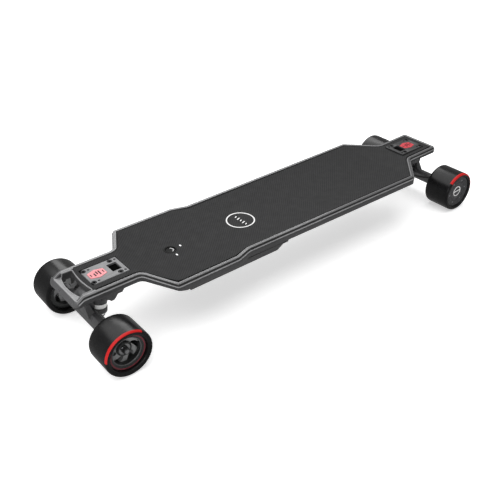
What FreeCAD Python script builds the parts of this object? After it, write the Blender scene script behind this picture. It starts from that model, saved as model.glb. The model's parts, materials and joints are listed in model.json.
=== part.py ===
"""Electric longboard skateboard, millimetres, +X to the nose, +Y to the rider's left, +Z up.

The origin is on the floor, at the middle of the board's overall box.  Each named sub-part is one
object of the document, and its shape is written to parts/LABEL.step.
"""
import FreeCAD, Part
import math
import os

import Sketcher

DRIVING_SIZES = {
    # deck outline, seen from above: X places and half widths
    "nose_x": 496, "nose_half": 46,
    "nose_corner_x": 490, "front_neck_half": 52.5,
    "dip_x": 477, "brow_x": 491, "bar_edge_x": 490,
    "front_neck_x": 364, "front_shoulder_x": 328, "front_half": 119,
    "bend_start_x": 190, "bend_end_x": 157, "waist_half": 108,
    "chin_x": 310, "rear_shoulder_x": -313, "rear_half": 114,
    "rear_neck_x": -373, "rear_neck_half": 50, "tail_x": -468,
    "corner_radius": 9, "inner_corner_radius": 14,
    # deck heights along its length: outer rim, middle of the dished top, underside
    "tail_rim": 125, "tail_dish": 124.1,
    "rear_neck_rim": 122.9, "rear_neck_dish": 121.9,
    "rear_rim": 121.1, "rear_dish": 111.5,
    "front_rim": 121.5, "front_dish": 111.5, "shoulder_dish": 114.5,
    "front_neck_rim": 126, "front_neck_dish": 124.7,
    "dip_rim": 126.5, "dip_dish": 125.5,
    "brow_rim": 119.3, "brow_dish": 118.3, "brow_bottom": 106.5,
    "nose_rim": 117.5, "nose_dish": 116.5, "nose_bottom": 105,
    "bar_top": 119.5,
    "neck_bottom": 110, "shoulder_bottom": 107.5, "hull_bottom": 101.5,
    "dish_axis": 711.5, "dish_angle": 44,
    "seam_drop": 9, "mat_thickness": 1.6, "skin_thickness": 2.6,
    "mat_inset": 9.5, "recess_inset": 8.7, "ring_inset": 13,
    "lower_inset": 0.8, "wall": 3.4, "floor": 2.6,
    "front_cavity_x": 357, "rear_cavity_x": -365,
    "tall": 200, "wide": 320, "overrun": 30,
    # carrying slot in the nose
    "slot_x": 468, "slot_length": 24, "slot_width": 78, "slot_radius": 6, "slot_liner": 2.4,
    "mat_front_x": 451,
    # battery tub below the hull
    "tub_back_x": 62, "tub_front_x": 301, "tub_half": 104,
    "tub_floor_back_x": 86, "tub_floor_front_x": 292, "tub_floor_half": 103, "tub_lip": 3,
    "tub_edge_radius": 3,
    "tub_bottom": 84, "tub_wall": 2.6, "flange_width": 9, "flange_thickness": 2.5,
    "seal_thickness": 1, "screw_radius": 1.6,
    "cell_radius": 9.1, "cell_length": 65, "cell_pitch": 18.6, "cell_back_x": 96, "cell_gap": 3,
    "controller_x": 235, "controller_length": 38, "controller_width": 92, "controller_height": 12,
    # power button and lights in the deck top
    "button_x": 268, "button_radius": 9.6, "bezel_radius": 13, "bezel_inner": 9.9,
    "light_offset": 23, "light_radius": 1.7,
    # charging socket in the side of the tub
    "socket_x": 114, "socket_z": 91, "socket_radius": 4.6, "boss_radius": 6.6,
    "boss_face": 105.5, "boss_length": 15, "cap_radius": 6.4, "cap_thickness": 2, "cap_hinge_offset": 9.4,
    "small_nut": 4.6, "kingpin_nut": 8.2, "axle_nut": 7.4,
    # trucks, in a frame on the axle: out is away from the board's middle, up is from the axle
    "front_axle_x": 450, "rear_axle_x": -450, "axle_z": 46.5,
    "plate_out": -41, "plate_length": 74, "plate_width": 54, "plate_top": 125.8,
    "plate_thickness": 4.8, "plate_gap": 0.2, "plate_radius": 7, "bolt_out": -36, "bolt_span": 53.98,
    "bolt_gauge": 41.28, "bolt_radius": 2.5, "bolt_head_radius": 5.2, "second_row": 10,
    "window_out": -61, "window_length": 19, "window_width": 25.5,
    "front_badge_out": -26, "rear_badge_out": -32.5, "badge_half_length": 16.5, "badge_half_width": 14, "badge_end_half": 8.5,
    "badge_thickness": 1.2,
    "kingpin_out": -20, "kingpin_up": 4.4, "kingpin_tilt": -8, "kingpin_radius": 4.9,
    "pivot_out": 8, "pivot_up": 39, "pivot_radius": 6,
    "ring_half": 5, "ring_radius": 15.2, "bushing_radius": 14.2, "board_bushing": 12,
    "road_bushing": 7, "boss_top": 62, "base_depth": 24.5, "nut_seat": 8, "nut_pocket": 5,
    "hanger_half": 62, "collar_radius": 11.5, "collar_end": 79,
    # wheels
    "wheel_radius": 46.5, "wheel_inner_y": 80, "wheel_outer_y": 146, "shoulder_radius": 6.5,
    "core_radius": 36, "core_rim": 27, "core_setback": 10, "core_window": 5.6, "hub_radius": 14.5, "bearing_radius": 11,
    "bearing_width": 7, "bearing_gap": 5, "wheel_mid_y": 113, "axle_radius": 4,
    "axle_clearance": 0.06, "axle_end": 9, "cable_radius": 2.4, "cable_gap": 0.15,
    "can_radius": 38, "can_inner": 34.7, "motor_axle_radius": 6, "motor_start_y": 83,
    "motor_end_y": 136, "end_plate": 4, "cover_radius": 37.2,
    "stator_start_y": 93, "stator_length": 34, "tooth_width": 4, "tooth_root": 12,
    "tooth_shoulder": 28.3, "tooth_tip": 31.2, "tip_width": 11.4, "tooth_count": 12,
    "coil_root": 15.5, "coil_width": 7.6, "coil_overhang": 3.5,
    "magnet_radius": 32.4, "magnet_thickness": 1.8, "magnet_width": 11.6, "magnet_count": 14,
}


class Size:
    """A number together with the spreadsheet expression that gives it."""

    def __init__(self, value, text):
        self.value = value
        self.text = text

    def joined(self, sign, other, value):
        return Size(value, f"({self.text} {sign} {as_size(other).text})")

    def __add__(self, other):
        return self.joined("+", other, self.value + as_size(other).value)

    def __sub__(self, other):
        return self.joined("-", other, self.value - as_size(other).value)

    def __mul__(self, other):
        return self.joined("*", other, self.value * as_size(other).value)

    def __truediv__(self, other):
        return self.joined("/", other, self.value / as_size(other).value)

    def __neg__(self):
        return Size(-self.value, f"(-1 * {self.text})")


def as_size(number):
    """A plain number as a Size, and a Size as it is."""
    return number if isinstance(number, Size) else Size(number, f"{number}")


class SizeTable:
    """The document's spreadsheet of driving sizes, read as attributes."""

    def __init__(self, document, cells):
        sheet = document.addObject("Spreadsheet::Sheet", "Sizes")
        for row, (name, value) in enumerate(cells.items(), 1):
            sheet.set(f"A{row}", name)
            sheet.set(f"B{row}", str(value))
            sheet.setAlias(f"B{row}", name)
        self.cells = cells

    def __getattr__(self, name):
        return Size(self.cells[name], f"Sizes.{name}")


doc = FreeCAD.newDocument("electric_skateboard")
S = SizeTable(doc, DRIVING_SIZES)
doc.recompute()

SUB_PARTS = []
NO_TURN = FreeCAD.Rotation()
HALF_TURN = FreeCAD.Rotation(FreeCAD.Vector(0, 0, 1), 180)
Y_TO_Z = FreeCAD.Rotation(FreeCAD.Vector(1, 0, 0), 90)
Z_TO_Y = FreeCAD.Rotation(FreeCAD.Vector(1, 0, 0), -90)
Y_TO_X = FreeCAD.Rotation(FreeCAD.Vector(0, 0, 1), -90)


# ---------------------------------------------------------------- general helpers
def bind(thing, name, size):
    """Sets a property from a Size, by expression."""
    setattr(thing, name, as_size(size).value)
    thing.setExpression(name, as_size(size).text)


def place(piece, x=0, y=0, z=0, turn=NO_TURN):
    """Puts a piece at a point given by sizes, turned by a rotation."""
    sizes = [as_size(number) for number in (x, y, z)]
    piece.Placement = FreeCAD.Placement(FreeCAD.Vector(*[size.value for size in sizes]), turn)
    for axis, size in zip("xyz", sizes):
        piece.setExpression(f"Placement.Base.{axis}", size.text)
    return piece


def keep(piece, label):
    """Names a finished sub-part."""
    piece.Label = label
    SUB_PARTS.append(piece)
    return piece


def hold(sketch, kind, geometry, size):
    """A distance from the origin to a geometry's first point (its centre for a circle)."""
    point = 3 if isinstance(sketch.Geometry[geometry], Part.Circle) else 1
    index = sketch.addConstraint(
        Sketcher.Constraint(kind, -1, 1, geometry, point, as_size(size).value)
    )
    sketch.setExpression(f"Constraints[{index}]", as_size(size).text)


def draw_polygon(sketch, corners):
    """A closed outline whose corners are held by distances from the origin."""
    first = sketch.GeometryCount
    count = len(corners)
    flat = [FreeCAD.Vector(as_size(x).value, as_size(y).value, 0) for x, y in corners]
    for index in range(count):
        sketch.addGeometry(Part.LineSegment(flat[index], flat[(index + 1) % count]), False)
    for index in range(count):
        follower = first + (index + 1) % count
        sketch.addConstraint(Sketcher.Constraint("Coincident", first + index, 2, follower, 1))
    for index, (x, y) in enumerate(corners):
        hold(sketch, "DistanceX", first + index, x)
        hold(sketch, "DistanceY", first + index, y)


def draw_rectangle(sketch, x, y, length, width):
    """A rectangle about a centre."""
    left, right = x - length / 2, x + length / 2
    low, high = y - width / 2, y + width / 2
    draw_polygon(sketch, [(left, low), (right, low), (right, high), (left, high)])


def draw_hexagon(sketch, corner_radius):
    """A hexagon about the sketch's origin, by the radius of its corners."""
    angles = [math.radians(60 * side) for side in range(6)]
    draw_polygon(
        sketch,
        [(corner_radius * math.cos(angle), corner_radius * math.sin(angle)) for angle in angles],
    )


def draw_circle(sketch, x, y, radius):
    """A circle held by its centre and radius."""
    centre = FreeCAD.Vector(as_size(x).value, as_size(y).value, 0)
    circle = Part.Circle(centre, FreeCAD.Vector(0, 0, 1), as_size(radius).value)
    geometry = sketch.addGeometry(circle, False)
    hold(sketch, "DistanceX", geometry, x)
    hold(sketch, "DistanceY", geometry, y)
    index = sketch.addConstraint(Sketcher.Constraint("Radius", geometry, as_size(radius).value))
    sketch.setExpression(f"Constraints[{index}]", as_size(radius).text)


def new_body(name):
    return doc.addObject("PartDesign::Body", name)


def body_sketch(body, role, rise=0):
    """A sketch on one of a body's own origin planes, lifted off it by rise."""
    plane = next(item for item in body.Origin.OriginFeatures if item.Role == role)
    sketch = body.newObject("Sketcher::SketchObject", f"{body.Name}_sketch")
    sketch.AttachmentSupport = (plane, [""])
    sketch.MapMode = "FlatFace"
    size = as_size(rise)
    sketch.AttachmentOffset = FreeCAD.Placement(FreeCAD.Vector(0, 0, size.value), NO_TURN)
    sketch.setExpression("AttachmentOffset.Base.z", size.text)
    return sketch


def body_axis(body, role):
    return next(item for item in body.Origin.OriginFeatures if item.Role == role)


def pad(body, sketch, length, midplane=False):
    """Adds a sketch's area as a solid."""
    feature = body.newObject("PartDesign::Pad", f"{body.Name}_pad")
    feature.Profile = sketch
    feature.Midplane = midplane
    bind(feature, "Length", length)
    return feature


def pocket_through(body, sketch):
    """Cuts a sketch's area through everything, both ways, and makes sure that it cut."""
    doc.recompute()
    before = body.Shape.Volume
    feature = body.newObject("PartDesign::Pocket", f"{body.Name}_pocket")
    feature.Profile = sketch
    feature.Midplane = True
    feature.Type = "ThroughAll"
    doc.recompute()
    if body.Shape.Volume >= before:
        raise RuntimeError(f"{feature.Name} cut nothing")
    return feature


def turned_body(name, *profiles):
    """A body turned about its own Y axis from profiles of (radius, place along the axis)."""
    body = new_body(name)
    for profile in profiles:
        sketch = body_sketch(body, "XY_Plane")
        draw_polygon(sketch, profile)
        turn = body.newObject("PartDesign::Revolution", f"{name}_turn")
        turn.Profile = sketch
        turn.ReferenceAxis = (sketch, ["V_Axis"])
        turn.Angle = 360
    return body


def ring_profile(inner, outer, start, end):
    """The (radius, place) rectangle of a plain turned ring."""
    return [(inner, start), (outer, start), (outer, end), (inner, end)]


def dress_edges(body, kind, size, chosen):
    """Rounds (Fillet) or bevels (Chamfer) the edges that chosen picks."""
    doc.recompute()
    base = body.Tip
    names = [f"Edge{n}" for n, edge in enumerate(base.Shape.Edges, 1) if chosen(edge)]
    if not names:
        raise RuntimeError(f"{body.Name} has no such edge")
    feature = body.newObject(f"PartDesign::{kind}", f"{body.Name}_{kind.lower()}")
    feature.Base = (base, names)
    bind(feature, "Radius" if kind == "Fillet" else "Size", size)
    doc.recompute()
    return feature


def is_upright(edge):
    """True for a straight edge along Z."""
    if not isinstance(edge.Curve, Part.Line):
        return False
    return abs(edge.tangentAt(edge.FirstParameter).z) > 0.999


def rounded_slab(name, length, width, height, radius):
    """A plate about its own middle, from its own z = 0 up, with rounded upright corners."""
    body = new_body(name)
    sketch = body_sketch(body, "XY_Plane")
    draw_rectangle(sketch, as_size(0), as_size(0), length, width)
    pad(body, sketch, height)
    dress_edges(body, "Fillet", radius, is_upright)
    return body


def polar(body, features, count):
    """Repeats features about the body's Y axis."""
    pattern = body.newObject("PartDesign::PolarPattern", f"{body.Name}_pattern")
    pattern.Originals = features
    pattern.Axis = (body_axis(body, "Y_Axis"), [""])
    pattern.Angle = 360
    bind(pattern, "Occurrences", count)
    body.Tip = pattern
    return pattern


def copies(name, piece, placements):
    """A compound of links to one piece, one for each placement."""
    links = []
    for index, placement in enumerate(placements):
        link = doc.addObject("App::Link", f"{name}_{index}")
        link.LinkedObject = piece
        link.LinkPlacement = placement
        links.append(link)
    group = doc.addObject("Part::Compound", name)
    group.Links = links
    return group


def cut(name, base, *tools):
    """The base with each tool taken away in turn."""
    for index, tool in enumerate(tools):
        feature = doc.addObject("Part::Cut", f"{name}_cut{index}")
        feature.Base = base
        feature.Tool = tool
        base = feature
    return base


def fuse(name, *pieces):
    feature = doc.addObject("Part::MultiFuse", name)
    feature.Shapes = list(pieces)
    return feature


def common(name, *pieces):
    feature = doc.addObject("Part::MultiCommon", name)
    feature.Shapes = list(pieces)
    return feature


def box(name, x, y, z):
    """A box between two places on each axis, each axis given as (low, high)."""
    piece = doc.addObject("Part::Box", name)
    for prop, (low, high) in zip(("Length", "Width", "Height"), (x, y, z)):
        bind(piece, prop, as_size(high) - low)
    return place(piece, x[0], y[0], z[0])


def rod(name, radius, length, x=0, y=0, z=0, turn=NO_TURN):
    """A cylinder from a point, along its own Z axis turned by a rotation."""
    piece = doc.addObject("Part::Cylinder", name)
    bind(piece, "Radius", radius)
    bind(piece, "Height", length)
    return place(piece, x, y, z, turn)


# ---------------------------------------------------------------- deck and hull
STATIONS = [
    (S.tail_x, S.tail_rim, S.tail_dish, S.neck_bottom),
    (S.rear_neck_x, S.rear_neck_rim, S.rear_neck_dish, S.neck_bottom),
    (S.rear_shoulder_x, S.rear_rim, S.rear_dish, S.hull_bottom),
    (S.chin_x, S.front_rim, S.front_dish, S.hull_bottom),
    (S.front_shoulder_x, S.front_rim, S.shoulder_dish, S.shoulder_bottom),
    (S.front_neck_x, S.front_neck_rim, S.front_neck_dish, S.neck_bottom),
    (S.dip_x, S.dip_rim, S.dip_dish, S.neck_bottom),
    (S.brow_x, S.brow_rim, S.brow_dish, S.brow_bottom),
    (S.nose_x, S.nose_rim, S.nose_dish, S.nose_bottom),
]


def outline_wire():
    """The deck's outline from above, with rounded corners, as a wire at z = 0."""
    left = [
        (S.nose_x, S.nose_half),
        (S.nose_corner_x, S.front_neck_half),
        (S.front_neck_x, S.front_neck_half),
        (S.front_shoulder_x, S.front_half),
        (S.bend_start_x, S.front_half),
        (S.bend_end_x, S.waist_half),
        (S.rear_shoulder_x, S.rear_half),
        (S.rear_neck_x, S.rear_neck_half),
        (S.tail_x, S.rear_neck_half),
    ]
    right = [(x, -y) for x, y in reversed(left)]
    sketch = doc.addObject("Sketcher::SketchObject", "outline_sketch")
    draw_polygon(sketch, left + right)
    steps = [
        (-S.corner_radius, "Intersection"),
        (S.corner_radius, "Arc"),
        (S.inner_corner_radius, "Intersection"),
        (-S.inner_corner_radius, "Arc"),
    ]
    wire = sketch
    for size, join in steps:
        wire = offset_wire(wire, size, join)
    return wire


def offset_wire(source, size, join="Arc"):
    """A flat wire moved outwards, or inwards where size is below zero."""
    wire = doc.addObject("Part::Offset2D", "offset_wire")
    wire.Source = source
    wire.Join = join
    bind(wire, "Value", size)
    return wire


def prism(wire):
    """The full-height block over a wire."""
    block = doc.addObject("Part::Extrusion", "prism")
    block.Base = wire
    block.DirMode = "Custom"
    block.Dir = FreeCAD.Vector(0, 0, 1)
    block.Solid = True
    bind(block, "LengthFwd", S.tall)
    return block


def inset_prism(inset):
    return prism(offset_wire(OUTLINE, -inset))


def side_sketch(name, upper, lower):
    """A band seen from the side, between two lists of heights at the stations."""
    places = [station[0] for station in STATIONS]
    places = [places[0] - S.overrun, *places[1:], places[-1] + S.overrun]
    upper, lower = [*upper, upper[-1]], [*lower, lower[-1]]
    corners = list(zip(places, upper)) + list(zip(reversed(places), reversed(lower)))
    sketch = doc.addObject("Sketcher::SketchObject", name)
    sketch.Placement = FreeCAD.Placement(FreeCAD.Vector(), Y_TO_Z)
    draw_polygon(sketch, corners)
    return sketch


def level_band(name, upper, lower):
    """A side band run straight across the board."""
    band = doc.addObject("Part::Extrusion", name)
    band.Base = side_sketch(f"{name}_sketch", upper, lower)
    band.DirMode = "Custom"
    band.Dir = FreeCAD.Vector(0, 1, 0)
    band.Symmetric = True
    band.Solid = True
    bind(band, "LengthFwd", S.wide)
    return band


def dished_band(name, top_offset, bottom_offset):
    """A side band swept on the dish's large radius, offset from the middle of the dish."""
    heights = [station[2] for station in STATIONS]
    upper = [height + top_offset for height in heights]
    lower = [height + bottom_offset for height in heights]
    band = doc.addObject("Part::Revolution", name)
    band.Source = side_sketch(f"{name}_sketch", upper, lower)
    band.Axis = FreeCAD.Vector(1, 0, 0)
    band.Base = FreeCAD.Vector(0, 0, S.dish_axis.value)
    band.setExpression("Base.z", S.dish_axis.text)
    band.Symmetric = True
    band.Solid = True
    bind(band, "Angle", S.dish_angle)
    return band


def span_box(name, low, high):
    """A box across the whole board between two places along it."""
    return box(name, (low, high), (-S.wide / 2, S.wide / 2), (as_size(0), S.tall))


def slot_tool(name, growth):
    """The carrying slot's block, grown all round."""
    body = rounded_slab(
        name,
        S.slot_length + growth * 2,
        S.slot_width + growth * 2,
        S.tall,
        S.slot_radius + growth,
    )
    return place(body, S.slot_x)


def plate_room(name, end, low):
    """The room for a top plate, from a height up through the deck's top."""
    length = S.plate_length + S.plate_gap * 2
    width = S.plate_width + S.plate_gap * 2
    piece = doc.addObject("Part::Box", name)
    bind(piece, "Length", length)
    bind(piece, "Width", width)
    bind(piece, "Height", S.tall)
    return place(piece, end.along(S.plate_out) - length / 2, -width / 2, low)


def deck_tools():
    """What is cut out of the grip mat, the deck shell and the lower shell at the same places."""
    tools = {"slot": slot_tool("slot_tool", S.slot_liner)}
    tools["button"] = rod("button_tool", S.bezel_radius, S.tall, S.button_x)
    for index, (x, y) in enumerate(light_places()):
        tools[f"light_{index}"] = rod(f"light_tool_{index}", S.light_radius, S.tall, x, y)
    for end in ENDS:
        seat = S.plate_top - S.plate_thickness
        tools[f"{end.name}_seat"] = plate_room(f"{end.name}_plate_seat", end, seat)
        tools[f"{end.name}_window"] = plate_room(f"{end.name}_mat_window", end, S.hull_bottom)
        hole = doc.addObject("Part::Cylinder", f"{end.name}_bolt_hole")
        bind(hole, "Radius", S.bolt_radius)
        bind(hole, "Height", S.tall)
        places = bolt_places(end) + bolt_places(end, S.bolt_out - S.second_row)
        tools[f"{end.name}_bolts"] = upright_copies(f"{end.name}_bolt_holes", hole, places)
    return tools


def light_places():
    return [(S.button_x - S.light_offset, as_size(0)), (S.button_x, S.light_offset)]


def make_deck():
    """The deck's upper shell, its grip mat and the lower shell of the hull."""
    tools = deck_tools()
    bolts = [tools["front_bolts"], tools["rear_bolts"]]
    seats = [tools["front_seat"], tools["rear_seat"]]
    windows = [tools["front_window"], tools["rear_window"]]
    lights = [tools["light_0"], tools["light_1"]]
    rims = [station[1] for station in STATIONS]
    seams = [rim - S.seam_drop for rim in rims]
    bottoms = [station[3] for station in STATIONS]
    depth = S.mat_thickness + S.skin_thickness

    rim_band = level_band("rim_band", rims, seams)
    cavity = common(
        "upper_cavity",
        inset_prism(S.ring_inset),
        span_box("upper_cavity_span", S.rear_cavity_x, S.front_cavity_x),
    )
    ring = cut("deck_ring", common("deck_ring_blank", prism(OUTLINE), rim_band), cavity)
    skin_band = dished_band("skin_band", -S.mat_thickness, -depth)
    skin = common("deck_skin", inset_prism(S.recess_inset), skin_band)
    above = dished_band("above_skin", as_size(40), -S.mat_thickness)
    recess = common(
        "mat_recess",
        inset_prism(S.recess_inset),
        above,
        span_box("recess_span", S.tail_x - S.overrun, S.mat_front_x + 1),
    )
    shell = fuse("deck_blank", ring, skin)
    half = S.slot_width / 2 + S.slot_liner
    bar_room = box("bar_room", (S.slot_x, S.bar_edge_x), (-half, half), (S.bar_top, S.tall))
    shell = cut(
        "deck_shell", shell, recess, bar_room, tools["slot"], tools["button"], *seats, *bolts,
        *lights,
    )
    keep(shell, "deck_shell")

    mat = common(
        "mat_blank",
        inset_prism(S.mat_inset),
        dished_band("mat_band", as_size(0), -S.mat_thickness),
        span_box("mat_span", S.tail_x - S.overrun, S.mat_front_x),
    )
    keep(cut("grip_mat", mat, tools["button"], *windows, *lights), "grip_mat")

    lower_band = level_band("lower_band", seams, bottoms)
    floors = [bottom + S.floor for bottom in bottoms]
    inside = common(
        "lower_cavity",
        inset_prism(S.lower_inset + S.wall),
        level_band("above_floor", [rim + S.overrun for rim in rims], floors),
        span_box("lower_cavity_span", S.rear_cavity_x, S.front_cavity_x),
    )
    opening = box(
        "tub_opening",
        (S.tub_back_x + 4, S.tub_front_x - 4),
        (-S.tub_half + 4, S.tub_half - 4),
        (as_size(0), S.tall),
    )
    lower = common("lower_blank", inset_prism(S.lower_inset), lower_band)
    lower = cut(
        "lower_shell", lower, inside, opening, tools["slot"], *bolts, screw_holes("shell_screw_holes"),
        cable_holes(),
    )
    keep(lower, "lower_shell")


def make_nose_handle():
    """The liner of the carrying slot, with a lip round its top edge."""
    liner = cut(
        "nose_handle_liner",
        slot_tool("liner_outside", S.slot_liner),
        slot_tool("liner_inside", as_size(0)),
    )
    half = S.slot_width
    inboard = box(
        "liner_inboard", (S.slot_x - S.slot_length, S.dip_x), (-half, half),
        (S.neck_bottom, S.dip_rim + 0.4),
    )
    outboard = box(
        "liner_outboard", (S.slot_x, S.slot_x + S.slot_length), (-half, half),
        (S.neck_bottom, S.bar_top + 0.4),
    )
    span = fuse("liner_span", inboard, outboard)
    keep(common("nose_handle_liner_trim", liner, span), "nose_handle_liner")


# each motor's cable, as (out from the rear axle, across, height) from the hull to the axle's collar
MOTOR_CABLE_ROUTE = [
    (-86, 20, 110), (-85.4, 21, 95.5), (-76, 31, 79.5), (-50, 44, 67.5), (-25, 57, 59.5),
    (-9, 68, 57.5),
]


# ---------------------------------------------------------------- battery tub
def tub_loft(name, growth, top, bottom):
    """A tapered block between the tub's mouth and floor outlines, grown outwards."""
    body = new_body(name)
    outlines = [
        (top, S.tub_back_x, S.tub_front_x, S.tub_half),
        (bottom, S.tub_floor_back_x, S.tub_floor_front_x, S.tub_floor_half),
    ]
    sketches = []
    for rise, back, front, half in outlines:
        sketch = body_sketch(body, "XY_Plane", rise)
        draw_rectangle(
            sketch, (back + front) / 2, as_size(0), front - back + growth * 2, (half + growth) * 2
        )
        sketches.append(sketch)
    loft = body.newObject("PartDesign::AdditiveLoft", f"{name}_loft")
    loft.Profile = sketches[0]
    loft.Sections = [sketches[1]]
    loft.Ruled = True
    return body


def screw_places():
    """Places along the tub's two end flanges."""
    middle = (S.tub_back_x + S.tub_front_x) / 2
    reach = (S.tub_front_x - S.tub_back_x) / 2 + S.flange_width / 2 + 1
    shares = (-0.75, -0.25, 0.25, 0.75)
    return [(middle + reach * way, S.tub_half * share) for way in (-1, 1) for share in shares]


def screw_holes(name):
    """Upright holes for the tub's screws."""
    hole = rod(f"{name}_rod", S.screw_radius, S.tall)
    return upright_copies(name, hole, screw_places())


def cable_holes():
    """Holes in the hull's rear where the motors' cables come out."""
    hole = rod("cable_hole", S.cable_radius + S.cable_gap, S.tall)
    out, across = MOTOR_CABLE_ROUTE[0][:2]
    x = S.rear_axle_x - out
    return upright_copies("cable_holes", hole, [(x, as_size(across)), (x, as_size(-across))])


def make_tub():
    """The battery tub, its seal and screws."""
    seal_bottom = S.hull_bottom - S.seal_thickness
    flange_bottom = seal_bottom - S.flange_thickness
    rim_z = seal_bottom.value
    outside = tub_loft("tub_outside", as_size(0), seal_bottom, S.tub_bottom)
    dress_edges(outside, "Fillet", S.tub_edge_radius, lambda edge: edge.BoundBox.ZMax < rim_z - 1)
    inside = tub_loft("tub_inside", -S.tub_wall, seal_bottom, S.tub_bottom + S.tub_wall)
    flange = rounded_slab(
        "tub_flange",
        S.tub_front_x - S.tub_back_x + S.flange_width * 2,
        (S.tub_half + S.tub_lip) * 2,
        S.flange_thickness,
        as_size(10),
    )
    middle = (S.tub_back_x + S.tub_front_x) / 2
    place(flange, middle, 0, flange_bottom)
    boss = rod(
        "socket_boss", S.boss_radius, S.boss_length, S.socket_x, -S.boss_face, S.socket_z,
        Z_TO_Y,
    )
    lugs = [
        box(
            f"cap_lug_{way}",
            (S.socket_x + 6.7, S.socket_x + S.cap_hinge_offset + 2),
            (-S.boss_face - 2.6, -S.boss_face + 3),
            (S.socket_z + low, S.socket_z + high),
        )
        for way, low, high in (("low", -5.6, -3.2), ("high", 3.2, 5.6))
    ]
    pin = rod(
        "cap_pin", as_size(1), as_size(9), S.socket_x + S.cap_hinge_offset, -S.boss_face - 1.4,
        S.socket_z - 4.5,
    )
    blank = fuse("tub_blank", outside, flange, boss)
    bore = rod(
        "socket_bore", S.socket_radius, as_size(30), S.socket_x, -S.boss_face - 1, S.socket_z,
        Z_TO_Y,
    )
    holes = screw_holes("tub_screw_holes")
    hollow = cut("tub_hollow", blank, inside, bore, holes)
    keep(fuse("battery_tub", hollow, pin, *lugs), "battery_tub")

    seal = cut(
        "tub_seal_blank",
        rounded_slab(
            "seal_outside",
            S.tub_front_x - S.tub_back_x + S.flange_width * 2,
            (S.tub_half + S.tub_lip) * 2,
            S.seal_thickness,
            as_size(10),
        ),
        rounded_slab(
            "seal_inside", S.tub_front_x - S.tub_back_x, S.tub_half * 2 - 6, S.seal_thickness,
            as_size(6),
        ),
    )
    seal_shape = upright_copies("seal_place", seal, [(middle, as_size(0))], seal_bottom)
    keep(cut("tub_seal", seal_shape, holes), "tub_seal")

    screw = turned_body(
        "tub_screw",
        [(0, 0), (3, 0), (3, 2), (S.screw_radius, 2), (S.screw_radius, 7.6), (0, 7.6)],
    )
    screws = upright_copies("tub_screws", screw, screw_places(), flange_bottom - 2, Y_TO_Z)
    keep(screws, "tub_screws")


def make_electrics():
    """The cells, their end plates, the battery board and the motor controller in the tub."""
    low = S.tub_bottom + S.tub_wall
    cell = turned_body(
        "cell",
        [(0, 0), (S.cell_radius, 0), (S.cell_radius, S.cell_length - 1.5),
         (S.cell_radius - 1.2, S.cell_length - 1), (2.8, S.cell_length - 1),
         (2.8, S.cell_length), (0, S.cell_length)],
    )
    rows = [S.cell_back_x, S.cell_back_x + S.cell_length + S.cell_gap]
    first_column = -3.5
    places = [
        FreeCAD.Placement(
            FreeCAD.Vector(
                back.value,
                S.cell_pitch.value * (column + first_column),
                low.value + S.cell_radius.value + 0.2,
            ),
            Y_TO_X,
        )
        for back in rows
        for column in range(9)
    ]
    keep(copies("battery_cells", cell, places), "battery_cells")
    plates = [
        box(
            f"cell_plate_{index}",
            (back, back + thickness),
            (-S.cell_pitch * 3.9, S.cell_pitch * 4.9),
            (low + 0.3, low + S.cell_radius * 2),
        )
        for index, (back, thickness) in enumerate(
            [
                (rows[0] - 1, 1),
                (rows[0] + S.cell_length, S.cell_gap),
                (rows[1] + S.cell_length, 1),
            ]
        )
    ]
    group = doc.addObject("Part::Compound", "cell_end_plates")
    group.Links = plates
    keep(group, "cell_end_plates")

    case = box(
        "controller_case",
        (S.controller_x, S.controller_x + S.controller_length),
        (-S.controller_width + 4, as_size(4)),
        (low, low + S.controller_height),
    )
    fins = [
        box(
            f"controller_fin_{index}",
            (S.controller_x + 3 + index * 6, S.controller_x + 5 + index * 6),
            (-S.controller_width + 10, as_size(-2)),
            (low + S.controller_height, low + S.controller_height + 2.5),
        )
        for index in range(6)
    ]
    keep(fuse("motor_controller", case, *fins), "motor_controller")
    board = box(
        "board_plate",
        (S.controller_x, S.controller_x + S.controller_length),
        (as_size(12), as_size(84)),
        (low + 2, low + 3.6),
    )
    chips = [
        box(
            f"board_chip_{index}",
            (S.controller_x + 6, S.controller_x + 16),
            (as_size(18 + index * 16), as_size(28 + index * 16)),
            (low + 3.6, low + 7),
        )
        for index in range(4)
    ]
    plug = box(
        "board_plug",
        (S.controller_x + 22, S.controller_x + 34),
        (as_size(30), as_size(62)),
        (low + 3.6, low + 10),
    )
    keep(fuse("battery_board", board, plug, *chips), "battery_board")


def make_charge_socket():
    """The charging socket in the tub's boss and the cap that swings over it."""
    back_y = -S.boss_face + 19
    socket = turned_body(
        "charge_socket_body",
        [(3.2, 0), (S.socket_radius, 0), (S.socket_radius, 19), (0, 19), (0, 8), (3.2, 8)],
        [(0, 2), (1.1, 2), (1.1, 8), (0, 8)],
    )
    place(socket, S.socket_x, back_y - 19, S.socket_z)
    keep(socket, "charge_socket")

    hinge_x = S.socket_x + S.cap_hinge_offset
    face = -S.boss_face - 0.3
    disc = rod(
        "cap_disc", S.cap_radius, S.cap_thickness, S.socket_x, face, S.socket_z, Y_TO_Z
    )
    arm = box(
        "cap_arm",
        (S.socket_x + 3, hinge_x),
        (face - S.cap_thickness, face),
        (S.socket_z - 2.8, S.socket_z + 2.8),
    )
    knuckle = rod(
        "cap_knuckle", as_size(2), as_size(5.6), hinge_x, -S.boss_face - 1.4, S.socket_z - 2.8
    )
    clearance = rod(
        "cap_bore", as_size(1.06), as_size(9), hinge_x, -S.boss_face - 1.4, S.socket_z - 4.5
    )
    cap = cut("charge_cap", fuse("cap_blank", disc, arm, knuckle), clearance)
    keep(cap, "charge_cap")


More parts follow.
